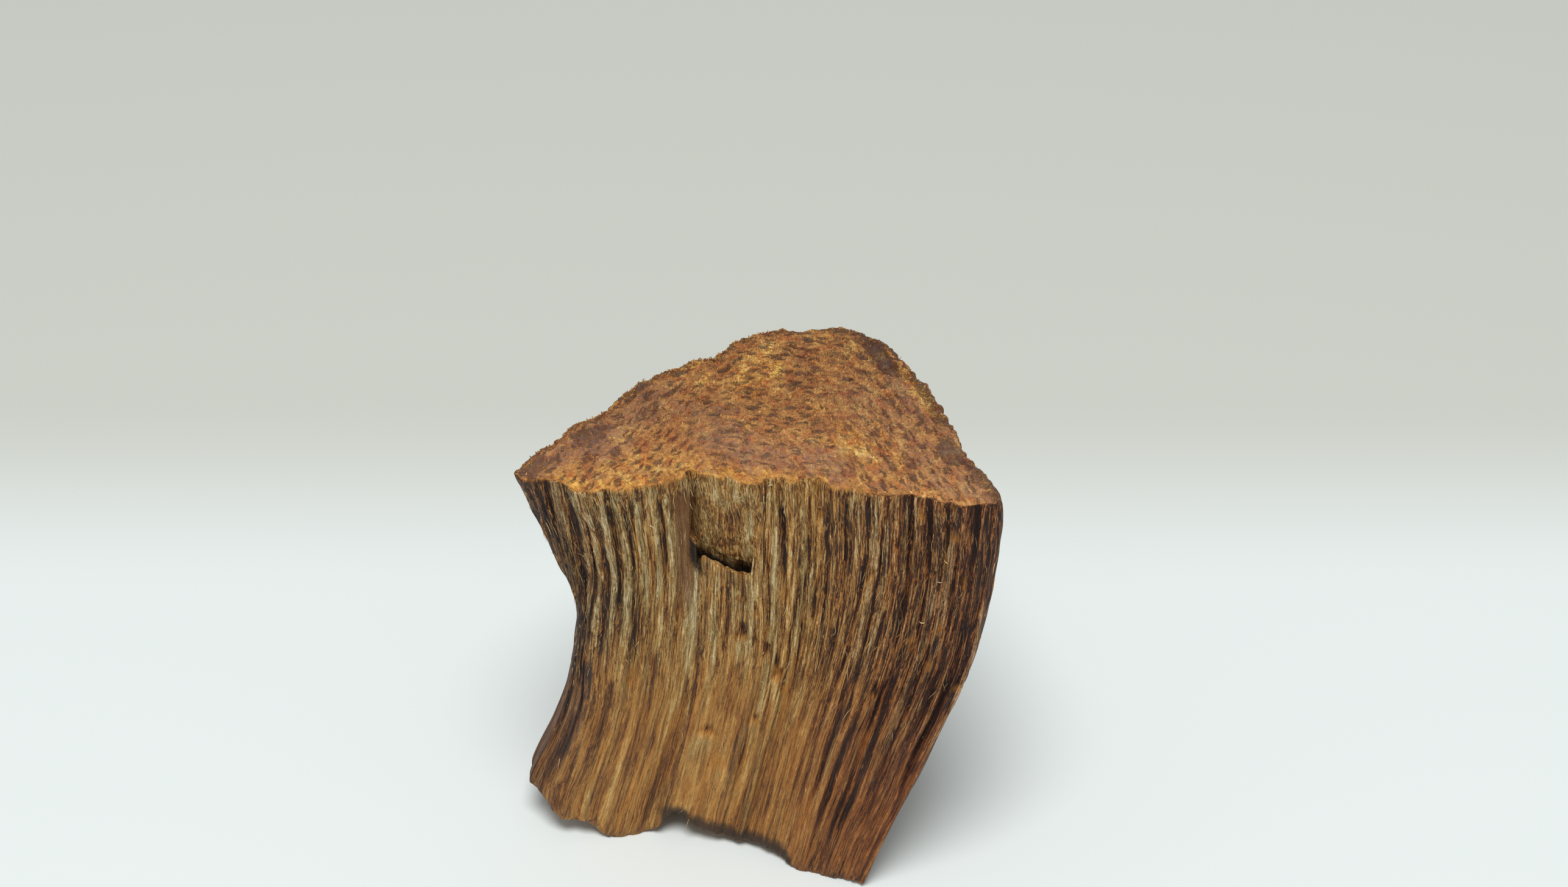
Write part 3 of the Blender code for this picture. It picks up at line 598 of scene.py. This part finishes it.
def ramp(tree, share, stops):
    """Colours that follow one another as a share goes from 0 to 1."""
    node = place(tree, "ValToRGB", {0: share})
    steps = node.color_ramp.elements
    for at, colour in stops[1:-1]:
        steps.new(at).color = colour
    steps[0].position, steps[0].color = stops[0]
    steps[len(stops) - 1].position, steps[len(stops) - 1].color = stops[-1]
    return node.outputs["Color"]


# Split grain: strands from a hair to a rib wide, with dark furrows and pale ridges. Each size is
# across the grain and along it, in millimetres.
BAND, RIB, THREAD, HAIR = (0.5, 12.0), (0.2, 7.0), (0.085, 2.2), (0.036, 0.9)
BEND, KINK, FLUFF, NICK, HUE = (0.9, 2.5), (0.2, 0.5), (0.12, 0.18), (0.13, 0.4), (0.26, 5.0)
split_grain, given, made = new_group(
    "split_grain",
    {
        "Fibre": "Vector", "Furrow": "Float", "Ridge": "Float",
        "Fineness": "Float", "Warmth": "Float", "Lightness": "Float",
    },
    {"Color": "Color", "Height": "Float", "Roughness": "Float"},
)
tree = split_grain


# Sums on numbers, in the tree that is being made
def about_half(value, amount):
    """How far a soft noise is from its middle, times an amount."""
    return reckoned(tree, "MULTIPLY", reckoned(tree, "SUBTRACT", value, 0.5), amount)


def added(*values):
    """The sum of these numbers."""
    total = values[0]
    for value in values[1:]:
        total = reckoned(tree, "ADD", total, value)
    return total


def times(*values):
    """The product of these numbers."""
    total = values[0]
    for value in values[1:]:
        total = reckoned(tree, "MULTIPLY", total, value)
    return total


bend = about_half(cloud(tree, stretched(tree, given["Fibre"], *BEND), 2.0), 0.22)
kink = about_half(cloud(tree, stretched(tree, given["Fibre"], *KINK), 2.0), 0.09)
shifted = added(bend, kink)
shifted = place(tree, "CombineXYZ", {"X": shifted, "Y": shifted}).outputs[0]
strand_line = place(tree, "VectorMath", {0: given["Fibre"], 1: shifted}).outputs[0]
bands = cloud(tree, stretched(tree, strand_line, *BAND), 2.0)
ribs_seen = cloud(tree, stretched(tree, strand_line, *RIB), 3.0, 0.6)
threads = cloud(tree, stretched(tree, strand_line, *THREAD), 3.0, 0.6)
threads = shift_between(tree, threads, 0.38, 0.62)
hairs = cloud(tree, stretched(tree, strand_line, *HAIR), 2.0, 0.6)
hairs = shift_between(tree, hairs, 0.35, 0.65)
fluff = cloud(tree, stretched(tree, given["Fibre"], *FLUFF), 3.0, 0.7)
nicks = cloud(tree, stretched(tree, strand_line, *NICK), 2.0, 0.5)
nicks = times(shift_between(tree, nicks, 0.36, 0.27), given["Fineness"])
hue = cloud(tree, stretched(tree, strand_line, *HUE), 3.0, 0.6)
crisp = added(about_half(threads, 0.46), about_half(hairs, 0.32), about_half(fluff, 0.5))
rough_furrow = times(given["Furrow"], shift_between(tree, fluff, 0.3, 0.7, 0.65, 1.2))
fineness_share = shift_between(tree, given["Fineness"], 0.4, 1.0, 0.65, 1.0)
value = added(
    0.5,
    times(about_half(bands, 1.1), fineness_share),
    about_half(ribs_seen, 0.9),
    times(crisp, given["Fineness"]),
    times(given["Ridge"], 0.17),
    times(rough_furrow, fineness_share, -0.5),
    times(nicks, -0.18),
    given["Lightness"],
)
GREY_TONES = [
    (0.0, tone(42, 24, 14)), (0.2, tone(92, 63, 32)), (0.4, tone(140, 110, 63)),
    (0.6, tone(172, 146, 92)), (0.8, tone(200, 177, 130)), (1.0, tone(226, 212, 174)),
]
RUST_TONES = [
    (0.0, tone(44, 20, 9)), (0.2, tone(106, 62, 24)), (0.4, tone(160, 107, 48)),
    (0.6, tone(190, 139, 72)), (0.8, tone(216, 174, 108)), (1.0, tone(236, 208, 154)),
]
less_on_ridges, more_in_furrows = times(given["Ridge"], -0.45), times(given["Furrow"], 0.25)
warm_share = added(given["Warmth"], about_half(hue, 2.6), less_on_ridges, more_in_furrows)
warm_share = shift_between(tree, warm_share, 0.0, 1.0)
greys, rusts = ramp(tree, value, GREY_TONES), ramp(tree, value, RUST_TONES)
tree.links.new(mixed(tree, warm_share, greys, rusts), made["Color"])
depth = added(times(threads, 0.05), times(hairs, 0.02), times(fluff, 0.12), times(ribs_seen, 0.12))
depth = added(times(depth, given["Fineness"]), times(nicks, -0.07), times(rough_furrow, -0.06))
tree.links.new(depth, made["Height"])
tree.links.new(shift_between(tree, value, 0.1, 0.8, 0.55, 0.8), made["Roughness"])

# End grain: fibre ends cut across, with islands of dark resin that lie along the rings round the pith.
# Turns are in degrees in plan, and sizes are in millimetres.
LEFT_RINGS, RIGHT_RINGS, BACK_RINGS = (57.0, 0.95, 0.3), (-66.0, 1.1, 0.3), (-8.0, 0.85, 0.34)
TUFTS, SAW_LINES = (82.0, 0.26, 0.075), (-68.0, 2.4, 0.16)
RED_TINT, GOLD_TINT, HAZE_TONE = tone(246, 200, 186), tone(255, 240, 178), tone(132, 100, 92)
BROWN_RESIN, BLUE_RESIN = tone(52, 29, 23), tone(58, 51, 56)
end_grain, given, made = new_group(
    "end_grain",
    {
        "Plan": "Vector", "Left Arcs": "Float", "Right Arcs": "Float", "Smear": "Float",
        "Dark": "Float", "Pale": "Float", "Haze": "Float", "Rim Highlight": "Float", "Fineness": "Float",
    },
    {"Color": "Color", "Height": "Float", "Roughness": "Float"},
)
tree = end_grain
flat = place(tree, "VectorMath", {0: given["Plan"], 1: (1.0, 1.0, 0.0)}, operation="MULTIPLY").outputs[0]
push = place(tree, "TexNoise", {"Vector": flat, "Scale": 1.5, "Detail": 4.0, "Roughness": 0.65})
push = place(tree, "VectorMath", {0: push.outputs["Color"], 1: (-0.5, -0.5, -0.5)}).outputs[0]
push = place(tree, "VectorMath", {0: push, "Scale": 0.9}, operation="SCALE").outputs[0]
pushed = place(tree, "VectorMath", {0: flat, 1: push}).outputs[0]


def flat_cloud(size, detail, roughness=0.55, distortion=0.0, vector=flat):
    """Soft noise over the cut, of this size."""
    return cloud(tree, stretched(tree, vector, size, 1.0), detail, roughness, distortion)


def turned_and_scaled(vector, turn, long_size, short_size):
    """Coordinates along and across a direction in plan, in units of these two sizes."""
    values = {"Vector": vector, "Angle": -math.radians(turn)}
    turned = place(tree, "VectorRotate", values, rotation_type="Z_AXIS").outputs[0]
    scale = (1.0 / long_size, 1.0 / short_size, 1.0)
    return place(tree, "VectorMath", {0: turned, 1: scale}, operation="MULTIPLY").outputs[0]


def cells_at(vector):
    """How far the middle of the nearest cell is, and a chance shade for each cell."""
    values = {"Vector": vector, "Scale": 1.0, "Randomness": 1.0}
    found = place(tree, "TexVoronoi", values, voronoi_dimensions="2D").outputs
    return found["Distance"], place(tree, "SeparateColor", {0: found["Color"]}).outputs[0]


frayed = flat_cloud(0.1, 3.0, 0.65)


def islands(turn, long_size, short_size):
    """Dark islands and dashes of uneven strength with frayed edges."""
    distance, strength = cells_at(turned_and_scaled(pushed, turn, long_size, short_size))
    reach = added(distance, about_half(frayed, 0.9))
    size = shift_between(tree, strength, 0.0, 1.0, 0.14, 0.5)
    edge = shift_between(tree, reach, times(size, 0.2), size, 1.0, 0.0)
    spots = times(edge, shift_between(tree, strength, 0.15, 0.75, 0.2, 1.0))
    dashes = cloud(tree, turned_and_scaled(pushed, turn, 0.7 * long_size, 0.6 * short_size), 3.0, 0.6)
    dashes = times(shift_between(tree, added(dashes, about_half(frayed, 0.25)), 0.56, 0.72), 0.75)
    return reckoned(tree, "MAXIMUM", spots, dashes)


dark = mixed(tree, given["Left Arcs"], islands(*BACK_RINGS), islands(*LEFT_RINGS))
dark = mixed(tree, given["Right Arcs"], dark, islands(*RIGHT_RINGS))
clumps = flat_cloud(0.28, 4.0, 0.7, vector=pushed)
broken_patch = added(given["Dark"], about_half(frayed, 1.6), about_half(clumps, 1.8))
broken_patch = shift_between(tree, broken_patch, 0.2, 0.75)
broken_patch = times(broken_patch, shift_between(tree, given["Dark"], 0.0, 0.4))
dark = reckoned(tree, "MAXIMUM", times(dark, 0.92), broken_patch)
patches = flat_cloud(1.6, 4.0, 0.6, 0.6)
dots = flat_cloud(0.3, 4.0, 0.7)
tufts = cloud(tree, turned_and_scaled(flat, *TUFTS), 3.0, 0.65)
fines = flat_cloud(0.05, 2.0, 0.6)
grain_shade = cells_at(stretched(tree, pushed, 0.12, 1.0))[1]
speckle = added(about_half(grain_shade, 0.2), about_half(tufts, 1.0), about_half(fines, 0.4))
lines = cloud(tree, turned_and_scaled(pushed, *SAW_LINES), 3.0, 0.65)
ground = added(
    0.53,
    about_half(patches, 0.75),
    about_half(dots, 0.65),
    times(speckle, given["Fineness"]),
    times(about_half(lines, 0.9), reckoned(tree, "MAXIMUM", given["Smear"], given["Right Arcs"])),
    times(given["Pale"], shift_between(tree, dots, 0.3, 0.7, 0.05, 0.35)),
    times(given["Rim Highlight"], 0.14),
)
END_TONES = [
    (0.0, tone(60, 30, 19)), (0.2, tone(112, 62, 34)), (0.4, tone(151, 97, 55)), (0.56, tone(179, 124, 68)),
    (0.72, tone(206, 156, 86)), (0.88, tone(233, 194, 120)), (1.0, tone(248, 230, 188)),
]
cut_face = ramp(tree, ground, END_TONES)
reds = times(shift_between(tree, flat_cloud(0.7, 3.0, 0.6), 0.48, 0.64), 0.65)
cut_face = mixed(tree, reds, cut_face, mixed(tree, 1.0, cut_face, RED_TINT, "MULTIPLY"))
# Gold over the pale patches and, as a painted highlight, along the front rim
gilded = mixed(tree, 1.0, cut_face, GOLD_TINT, "MULTIPLY")
pale_gold = times(given["Pale"], shift_between(tree, dots, 0.3, 0.6))
cut_face = mixed(tree, reckoned(tree, "MAXIMUM", times(given["Rim Highlight"], 0.8), pale_gold), cut_face, gilded)
haze = times(shift_between(tree, flat_cloud(1.2, 2.0), 0.45, 0.7), given["Smear"], 0.4)
haze = reckoned(tree, "MAXIMUM", haze, times(given["Haze"], shift_between(tree, clumps, 0.35, 0.6)))
haze = times(haze, shift_between(tree, added(lines, about_half(frayed, 0.4)), 0.3, 0.6, 0.2, 0.8))
hazed = mixed(tree, haze, cut_face, HAZE_TONE)
dark = times(dark, reckoned(tree, "MULTIPLY_ADD", haze, -0.6, 1.0))
blue = shift_between(tree, flat_cloud(0.6, 2.0), 0.4, 0.6)
resin_tone = mixed(tree, blue, BROWN_RESIN, BLUE_RESIN)
dark_share = times(dark, shift_between(tree, fines, 0.3, 0.7, 0.92, 0.62))
tree.links.new(mixed(tree, dark_share, hazed, resin_tone), made["Color"])
lift = added(times(grain_shade, 0.03), times(tufts, 0.1), times(dots, 0.16), times(fines, 0.04))
lift = added(times(added(lift, times(lines, 0.12)), given["Fineness"]), times(dark, -0.07))
tree.links.new(lift, made["Height"])
shine = shift_between(tree, grain_shade, 0.8, 0.95, 0.0, 0.3)
roughness = reckoned(tree, "SUBTRACT", shift_between(tree, dark, 0.0, 1.0, 0.6, 0.38), shine)
tree.links.new(roughness, made["Roughness"])

wood, tree, shader = fresh_material("split_and_cut_agarwood")


def kept(name, output="Fac"):
    """What the mesh stores under this name."""
    return place(tree, "Attribute", attribute_name=name).outputs[output]


def grey_ramp(share, stops):
    """A number that changes along a share, held between -0.5 and 0.5."""
    found = ramp(tree, share, [(at, (level + 0.5, level + 0.5, level + 0.5, 1.0)) for at, level in stops])
    return reckoned(tree, "SUBTRACT", found, 0.5)


def share_across(fibre):
    """From 0 at the chip's left side to 1 at its right side."""
    a = place(tree, "SeparateXYZ", {0: fibre}).outputs["X"]
    return place(tree, "MapRange", {"Value": a, "From Min": -12.6, "From Max": 12.5}).outputs[0]


# How light the split front is from left to right, near the top and near the foot, and how strong its grain
HIGH_LIGHT = [
    (0.0, -0.34), (0.08, -0.25), (0.13, -0.04), (0.3, 0.08), (0.45, 0.05), (0.62, 0.0), (0.76, -0.13),
    (1.0, -0.22),
]
LOW_LIGHT = [
    (0.0, -0.3), (0.1, -0.22), (0.18, -0.08), (0.4, -0.06), (0.6, -0.07), (0.72, -0.1), (0.85, -0.15),
    (1.0, -0.18),
]
EDGE_CONTRAST = [(0.0, 0.45), (0.14, 0.2), (0.25, 0.0), (0.6, 0.0), (0.8, 0.3), (1.0, 0.4)]
fibre = kept("fibre", "Vector")
parts = place(tree, "SeparateXYZ", {0: fibre}).outputs
unevenness = about_half(cloud(tree, stretched(tree, fibre, 0.6, 3.0), 3.0), 12.0)
low_down = shift_between(tree, added(parts["Z"], unevenness), 19.0, 7.0)
across = share_across(fibre)
lightness = mixed(tree, low_down, grey_ramp(across, HIGH_LIGHT), grey_ramp(across, LOW_LIGHT))
edge_contrast = added(1.0, grey_ramp(across, EDGE_CONTRAST))
side_values = {
    "Fibre": fibre,
    "Furrow": kept("furrow"),
    "Ridge": kept("ridge"),
    "Fineness": times(shift_between(tree, low_down, 0.0, 1.0, 1.0, 0.4), edge_contrast),
    "Warmth": shift_between(tree, low_down, 0.0, 1.0, 0.66, 0.72),
    "Lightness": lightness,
}
end_values = {
    "Plan": fibre,
    "Left Arcs": shift_between(tree, parts["X"], -0.5, -4.5),
    "Right Arcs": shift_between(tree, parts["X"], 2.5, 6.5),
    "Smear": shift_between(tree, added(parts["Y"], times(parts["X"], -0.35)), 7.0, 2.5),
    "Dark": kept("dark_patch"),
    "Pale": kept("pale_patch"),
    "Haze": kept("hazy_patch"),
    "Rim Highlight": kept("rim_highlight"),
    "Fineness": shift_between(tree, parts["Y"], 2.0, 9.0, 0.42, 0.95),
}
sides = place(tree, "Group", side_values, node_tree=split_grain)
ends = place(tree, "Group", end_values, node_tree=end_grain)

# The split front goes from purple brown at the left corner through gold to dark brown at the right
SIDE_TINTS = [
    (0.0, tone(225, 205, 215)), (0.1, tone(240, 232, 232)), (0.2, tone(255, 253, 248)),
    (0.62, tone(255, 248, 236)), (0.8, tone(240, 216, 206)), (1.0, tone(228, 196, 192)),
]
# What lies over its grain, one after another: the name it is kept under, its strength and its tone. The
# crevice and the foot edge get painted shade; the resin tone also paints highlights on lit edges.
OVER_THE_GRAIN = [
    ("scar", 0.78, tone(124, 78, 44)), ("resin", 0.55, tone(184, 120, 40)),
    ("foot_edge_shade", 0.88, tone(44, 32, 24)), ("crevice_shade", 0.93, tone(18, 11, 8)),
]
RIM_HIGHLIGHT_TONE = tone(212, 146, 66)
split_face = mixed(tree, 1.0, sides.outputs["Color"], ramp(tree, across, SIDE_TINTS), "MULTIPLY")
for name, strength, over_tone in OVER_THE_GRAIN:
    split_face = mixed(tree, times(kept(name), strength), split_face, over_tone)
cut = kept("cut_end")
both = mixed(tree, cut, split_face, ends.outputs["Color"])
broken_line = cloud(tree, stretched(tree, fibre, 0.35, 0.6), 3.0)
broken_line = shift_between(tree, broken_line, 0.38, 0.6, 0.1, 0.85)
# The painted highlight along the front rim's edge, broken along the grain
edged = mixed(tree, times(kept("rim"), broken_line), both, RIM_HIGHLIGHT_TONE)
tree.links.new(edged, shader.inputs["Base Color"])
both_rough = mixed(tree, cut, sides.outputs["Roughness"], ends.outputs["Roughness"])
tree.links.new(both_rough, shader.inputs["Roughness"])
rise = mixed(tree, cut, sides.outputs["Height"], ends.outputs["Height"])
bump = place(tree, "Bump", {"Height": rise, "Strength": 1.0, "Distance": 1.0 * MM})
tree.links.new(bump.outputs["Normal"], shader.inputs["Normal"])
shader.inputs["Specular IOR Level"].default_value = 0.4
chip.data.materials.append(wood)
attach(chip, "root")
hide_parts("agarwood")


# The loose fibres
# Hair-thin fibres that splitting tore free and left lying along the grain with their ends lifted, the same
# wood as the chip. One sliver is modelled and each copy is bent to the relief, which is done in code.
FIBRE_COUNT = 1700
STRAY_SHARE = 0.015  # fibres that lie across the grain
FIBRE_CLUSTERS = (1.6, 0.7, 1.2, 21.0)  # how unevenly they are spread, as rough takes it
LONG_FIBRE_PALENESS = 0.9
FIBRE_SUNK = 0.02  # how deep a root sits, in millimetres
# Those that stand out: fibre, height, length, turn across the grain, lift, curl and half thickness
LONG_FIBRES = [
    (7.2, 23.3, 0.42, 62, 0.12, 0.16, 0.03), (6.63, 21.8, 2.7, 0, 0.14, 0.07, 0.022),
    (6.5, 23.2, 1.7, -5, 0.2, -0.1, 0.02), (9.46, 18.7, 0.34, 75, 0.1, 0.12, 0.03),
    (-3.75, 25.2, 0.9, 55, 0.3, 0.25, 0.018), (-3.2, 24.9, 0.8, -60, 0.3, -0.25, 0.018),
    (-4.3, 23.7, 0.6, 50, 0.25, 0.2, 0.016), (-3.6, 24.6, 0.7, 100, 0.3, 0.3, 0.016),
    (0.9, 26.6, 0.6, 84, 0.1, 0.05, 0.032), (1.0, 26.35, 0.5, 95, 0.12, -0.05, 0.028),
    (3.45, 25.3, 0.5, 120, 0.2, 0.08, 0.02), (2.6, 24.2, 0.4, 88, 0.15, 0.05, 0.018),
    (10.2, 22.7, 0.35, 40, 0.1, 0.1, 0.022), (10.0, 21.4, 0.3, 90, 0.1, 0.1, 0.022),
]


def places_at(fibres):
    """For each fibre at each height, where it is in millimetres: the reverse of fibres_at."""
    a, b, z = fibres.T
    guides = guides_at(z)
    index = np.clip(np.searchsorted(GUIDE_STARTS, a) - 1, 0, len(GUIDE_STARTS) - 2)
    row = np.arange(len(a))
    left, right = guides[index, row], guides[index + 1, row]
    x = left + (a - GUIDE_STARTS[index]) / (GUIDE_STARTS[index + 1] - GUIDE_STARTS[index]) * (right - left)
    y = b * guide_values(DEPTH_SHARE, z) + lean_at(a, z)
    return np.stack([x + CUT_X, y + CUT_Y, z], axis=1)


def one_sliver(name, widths):
    """A three-sided sliver along Z, one long, drawn out step by step to these widths."""
    bpy.ops.object.select_all(action="DESELECT")
    bpy.ops.mesh.primitive_circle_add(vertices=3, radius=widths[0], fill_type="NGON")
    sliver = bpy.context.object
    sliver.name = name
    bpy.ops.object.mode_set(mode="EDIT")
    bpy.ops.mesh.select_all(action="SELECT")
    for before, width in zip(widths, widths[1:]):
        rise = (0.0, 0.0, 1.0 / (len(widths) - 1))
        bpy.ops.mesh.extrude_region_move(TRANSFORM_OT_translate={"value": rise})
        bpy.ops.transform.resize(value=(width / before, width / before, 1.0))
    bpy.ops.mesh.select_all(action="SELECT")
    bpy.ops.mesh.normals_make_consistent(inside=False)
    bpy.ops.object.mode_set(mode="OBJECT")
    return sliver


def unit(vectors):
    """The same directions, each one long."""
    return vectors / np.linalg.norm(vectors, axis=1)[:, None]


def set_out(name, sliver, roots, along, outward, sizes):
    """One mesh of a copy of the sliver at each root, bent outward and sideways as its sizes say."""
    length, half_width, lift, curl, sunk = (row[:, None, None] for row in sizes)
    outward = unit(outward)[:, None, :]
    along = unit(along)[:, None, :]
    sideways = np.cross(outward, along)
    shape = np.array([v.co for v in sliver.data.vertices])
    x, y, z = (shape[None, :, i, None] for i in range(3))
    points = roots[:, None, :] + along * (z * length) + outward * (lift * z * z - sunk + y * half_width)
    points = points + sideways * (curl * np.sin(math.pi * z) + x * half_width)
    faces = [tuple(p.vertices) for p in sliver.data.polygons]
    step = len(shape)
    mesh = bpy.data.meshes.new(name)
    copied = [tuple(v + step * i for v in face) for i in range(len(roots)) for face in faces]
    mesh.from_pydata((points.reshape(-1, 3) * MM).tolist(), [], copied)
    piece = bpy.data.objects.new(name, mesh)
    bpy.context.scene.collection.objects.link(piece)
    return piece, step


def carry(piece, step, name, values):
    """Keeps one value for every copy under this name, at each of its points."""
    store(piece.data, name, np.repeat(values, step))


# Where the fibres are rooted: mostly high on the front, and not in the crevice or at the back rim
draw = np.random.default_rng(7)
chance = (side > 0.9) * (crevice_shade < 0.1) * (0.25 + 0.75 * front) * step_between(1.0, 3.0, height)
chance *= 0.12 + 0.88 * step_between(9.0, 16.0, height)
chance *= np.where(front > 0.5, 1.0, step_between(0.8, 1.8, top_height - height))
chance *= 1.0 - in_recess * step_between(-1.6, -1.2, over_lip) * step_between(1.6, 1.2, over_lip)
chance *= np.clip(0.6 + rough(*FIBRE_CLUSTERS), 0.05, 2.0) * (1.0 - 0.7 * scar)
rooted = draw.choice(count, FIBRE_COUNT, replace=False, p=chance / chance.sum())
root_fibres = fibres[rooted]
roots, outward = places[rooted], normals[rooted]
turn = np.radians(draw.normal(0.0, 9.0, FIBRE_COUNT))
stray = draw.random(FIBRE_COUNT) < STRAY_SHARE
turn[stray] = draw.uniform(-1.7, 1.7, stray.sum())
flip = np.where(draw.random(FIBRE_COUNT) < 0.5, 1.0, -1.0)
flip[top_height - root_fibres[:, 2] < 1.3] = -1.0
length = draw.uniform(0.25, 1.1, FIBRE_COUNT) * np.where(stray, 0.6, 1.0)
half_width = draw.uniform(0.009, 0.022, FIBRE_COUNT)
lift = draw.uniform(0.01, 0.09, FIBRE_COUNT) + np.where(stray, 0.08, 0.0)
curl = draw.normal(0.0, 0.035, FIBRE_COUNT) * np.where(stray, 2.0, 1.0)
for number, (fibre_line, level, *sizes) in enumerate(LONG_FIBRES):
    nearest = np.argmin(np.hypot(streak - fibre_line, height - level) + 9.0 * (front < 0.5))
    root_fibres[number], roots[number], outward[number] = fibres[nearest], places[nearest], normals[nearest]
    length[number], turn[number], lift[number], curl[number], half_width[number] = sizes
    turn[number] = math.radians(turn[number])
    flip[number] = 1.0
up_grain = unit(places_at(root_fibres + (0.0, 0.0, 0.3)) - places_at(root_fibres - (0.0, 0.0, 0.3)))
over = np.cross(unit(outward), up_grain)
along = flip[:, None] * (up_grain * np.cos(turn)[:, None] + over * np.sin(turn)[:, None])
sliver = one_sliver("one_fibre", (0.7, 1.0, 0.95, 0.85, 0.6, 0.25))
sizes = (length, half_width, lift, curl, np.full(FIBRE_COUNT, FIBRE_SUNK))
loose, step = set_out("loose_fibres", sliver, roots, along, outward, sizes)
paleness = draw.uniform(0.0, 0.75, FIBRE_COUNT)
paleness[: len(LONG_FIBRES)] = LONG_FIBRE_PALENESS
carry(loose, step, "paleness", paleness)
store_grain(loose.data, np.repeat(grain_lines[rooted], step, axis=0))
bpy.data.objects.remove(sliver)

hair, tree, shader = fresh_material("loose_wood_fibre")
FIBRE_LIGHT = [(0.0, 0.0), (0.3, 0.2), (0.6, 0.16), (0.8, 0.0), (1.0, -0.05)]
BLEACHED = tone(214, 190, 142)
fibre = kept("fibre", "Vector")
side_values = {"Fibre": fibre, "Furrow": 0.0, "Ridge": 0.3, "Fineness": 0.6, "Warmth": 0.6}
side_values["Lightness"] = grey_ramp(share_across(fibre), FIBRE_LIGHT)
sides = place(tree, "Group", side_values, node_tree=split_grain)
bleached = mixed(tree, kept("paleness"), sides.outputs["Color"], BLEACHED)
tree.links.new(bleached, shader.inputs["Base Color"])
shader.inputs["Roughness"].default_value = 0.55
loose.data.materials.append(hair)
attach(loose, "root")


# The torn fibre ends
# The saw left short ends of fibre standing on the cut, thickest at the back and along its rim, where they
# fray. They are the same wood. One stub is modelled and copied.
STUB_COUNT = 2400
STUB_CLUSTERS = (1.4, 0.9, 9.0, 22.0)  # how unevenly they are spread, as rough takes it
STUB_SUNK = 0.03
TUFT_X, TUFT_Y, TUFT_REACH = -2.9, 11.9, 1.7  # the most frayed place of the back rim
chance = cut_end * (0.25 + 0.75 * step_between(3.0, 8.0, cut_y))
chance *= (1.0 + 1.5 * pale_patch) * (1.0 - 0.5 * hazy_patch)
chance *= np.clip(0.7 + rough(*STUB_CLUSTERS), 0.05, 2.0)
frayed_rim = step_between(0.5, 0.1, to_back_rim) * hump(np.hypot(cut_x - TUFT_X, cut_y - TUFT_Y), TUFT_REACH)
thin_fray = 0.4 * step_between(0.3, 0.1, to_back_rim) * step_between(4.0, 1.0, cut_x)
frayed_rim = np.maximum(frayed_rim, thin_fray)
chance = chance + 3.5 * frayed_rim * (cut_end > 0.3)
rooted = draw.choice(count, STUB_COUNT, replace=False, p=chance / chance.sum())
at_rim = np.clip(frayed_rim[rooted], 0.0, 1.0)
lean = draw.normal(0.0, 0.6, (STUB_COUNT, 2))
along = np.stack([lean[:, 0], lean[:, 1] - 0.35, np.ones(STUB_COUNT)], axis=1)
along[:, :2] += 0.8 * at_rim[:, None] * normals[rooted, :2]
level_turn = draw.normal(0.0, 1.0, STUB_COUNT)
outward = np.stack([level_turn, np.ones(STUB_COUNT), np.zeros(STUB_COUNT)], axis=1)
outward -= along * ((outward * along).sum(axis=1) / (along * along).sum(axis=1))[:, None]
length = draw.uniform(0.05, 0.15, STUB_COUNT) * (1.0 + 0.25 * at_rim)
half_width = draw.uniform(0.022, 0.048, STUB_COUNT) * (1.0 + 0.5 * at_rim)
bend_out = draw.normal(0.0, 0.05, STUB_COUNT)
sizes = (length, half_width, bend_out, draw.normal(0.0, 0.03, STUB_COUNT), np.zeros(STUB_COUNT))
sliver = one_sliver("one_stub", (1.1, 1.0, 0.75, 0.3))
roots = places[rooted] - STUB_SUNK * unit(along)
stubs, step = set_out("torn_fibre_ends", sliver, roots, along, outward, sizes)
carry(stubs, step, "paleness", draw.uniform(0.0, 1.0, STUB_COUNT) ** 1.5)
carry(stubs, step, "dark_patch", 0.7 * dark_patch[rooted])
store_grain(stubs.data, np.repeat(grain_lines[rooted], step, axis=0))
bpy.data.objects.remove(sliver)

stub_wood, tree, shader = fresh_material("torn_end_grain")
end_values = {"Plan": kept("fibre", "Vector"), "Dark": kept("dark_patch"), "Pale": kept("paleness")}
ends = place(tree, "Group", {**end_values, "Fineness": 0.6, "Smear": 0.0}, node_tree=end_grain)
tree.links.new(ends.outputs["Color"], shader.inputs["Base Color"])
shader.inputs["Roughness"].default_value = 0.45
stubs.data.materials.append(stub_wood)
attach(stubs, "root")
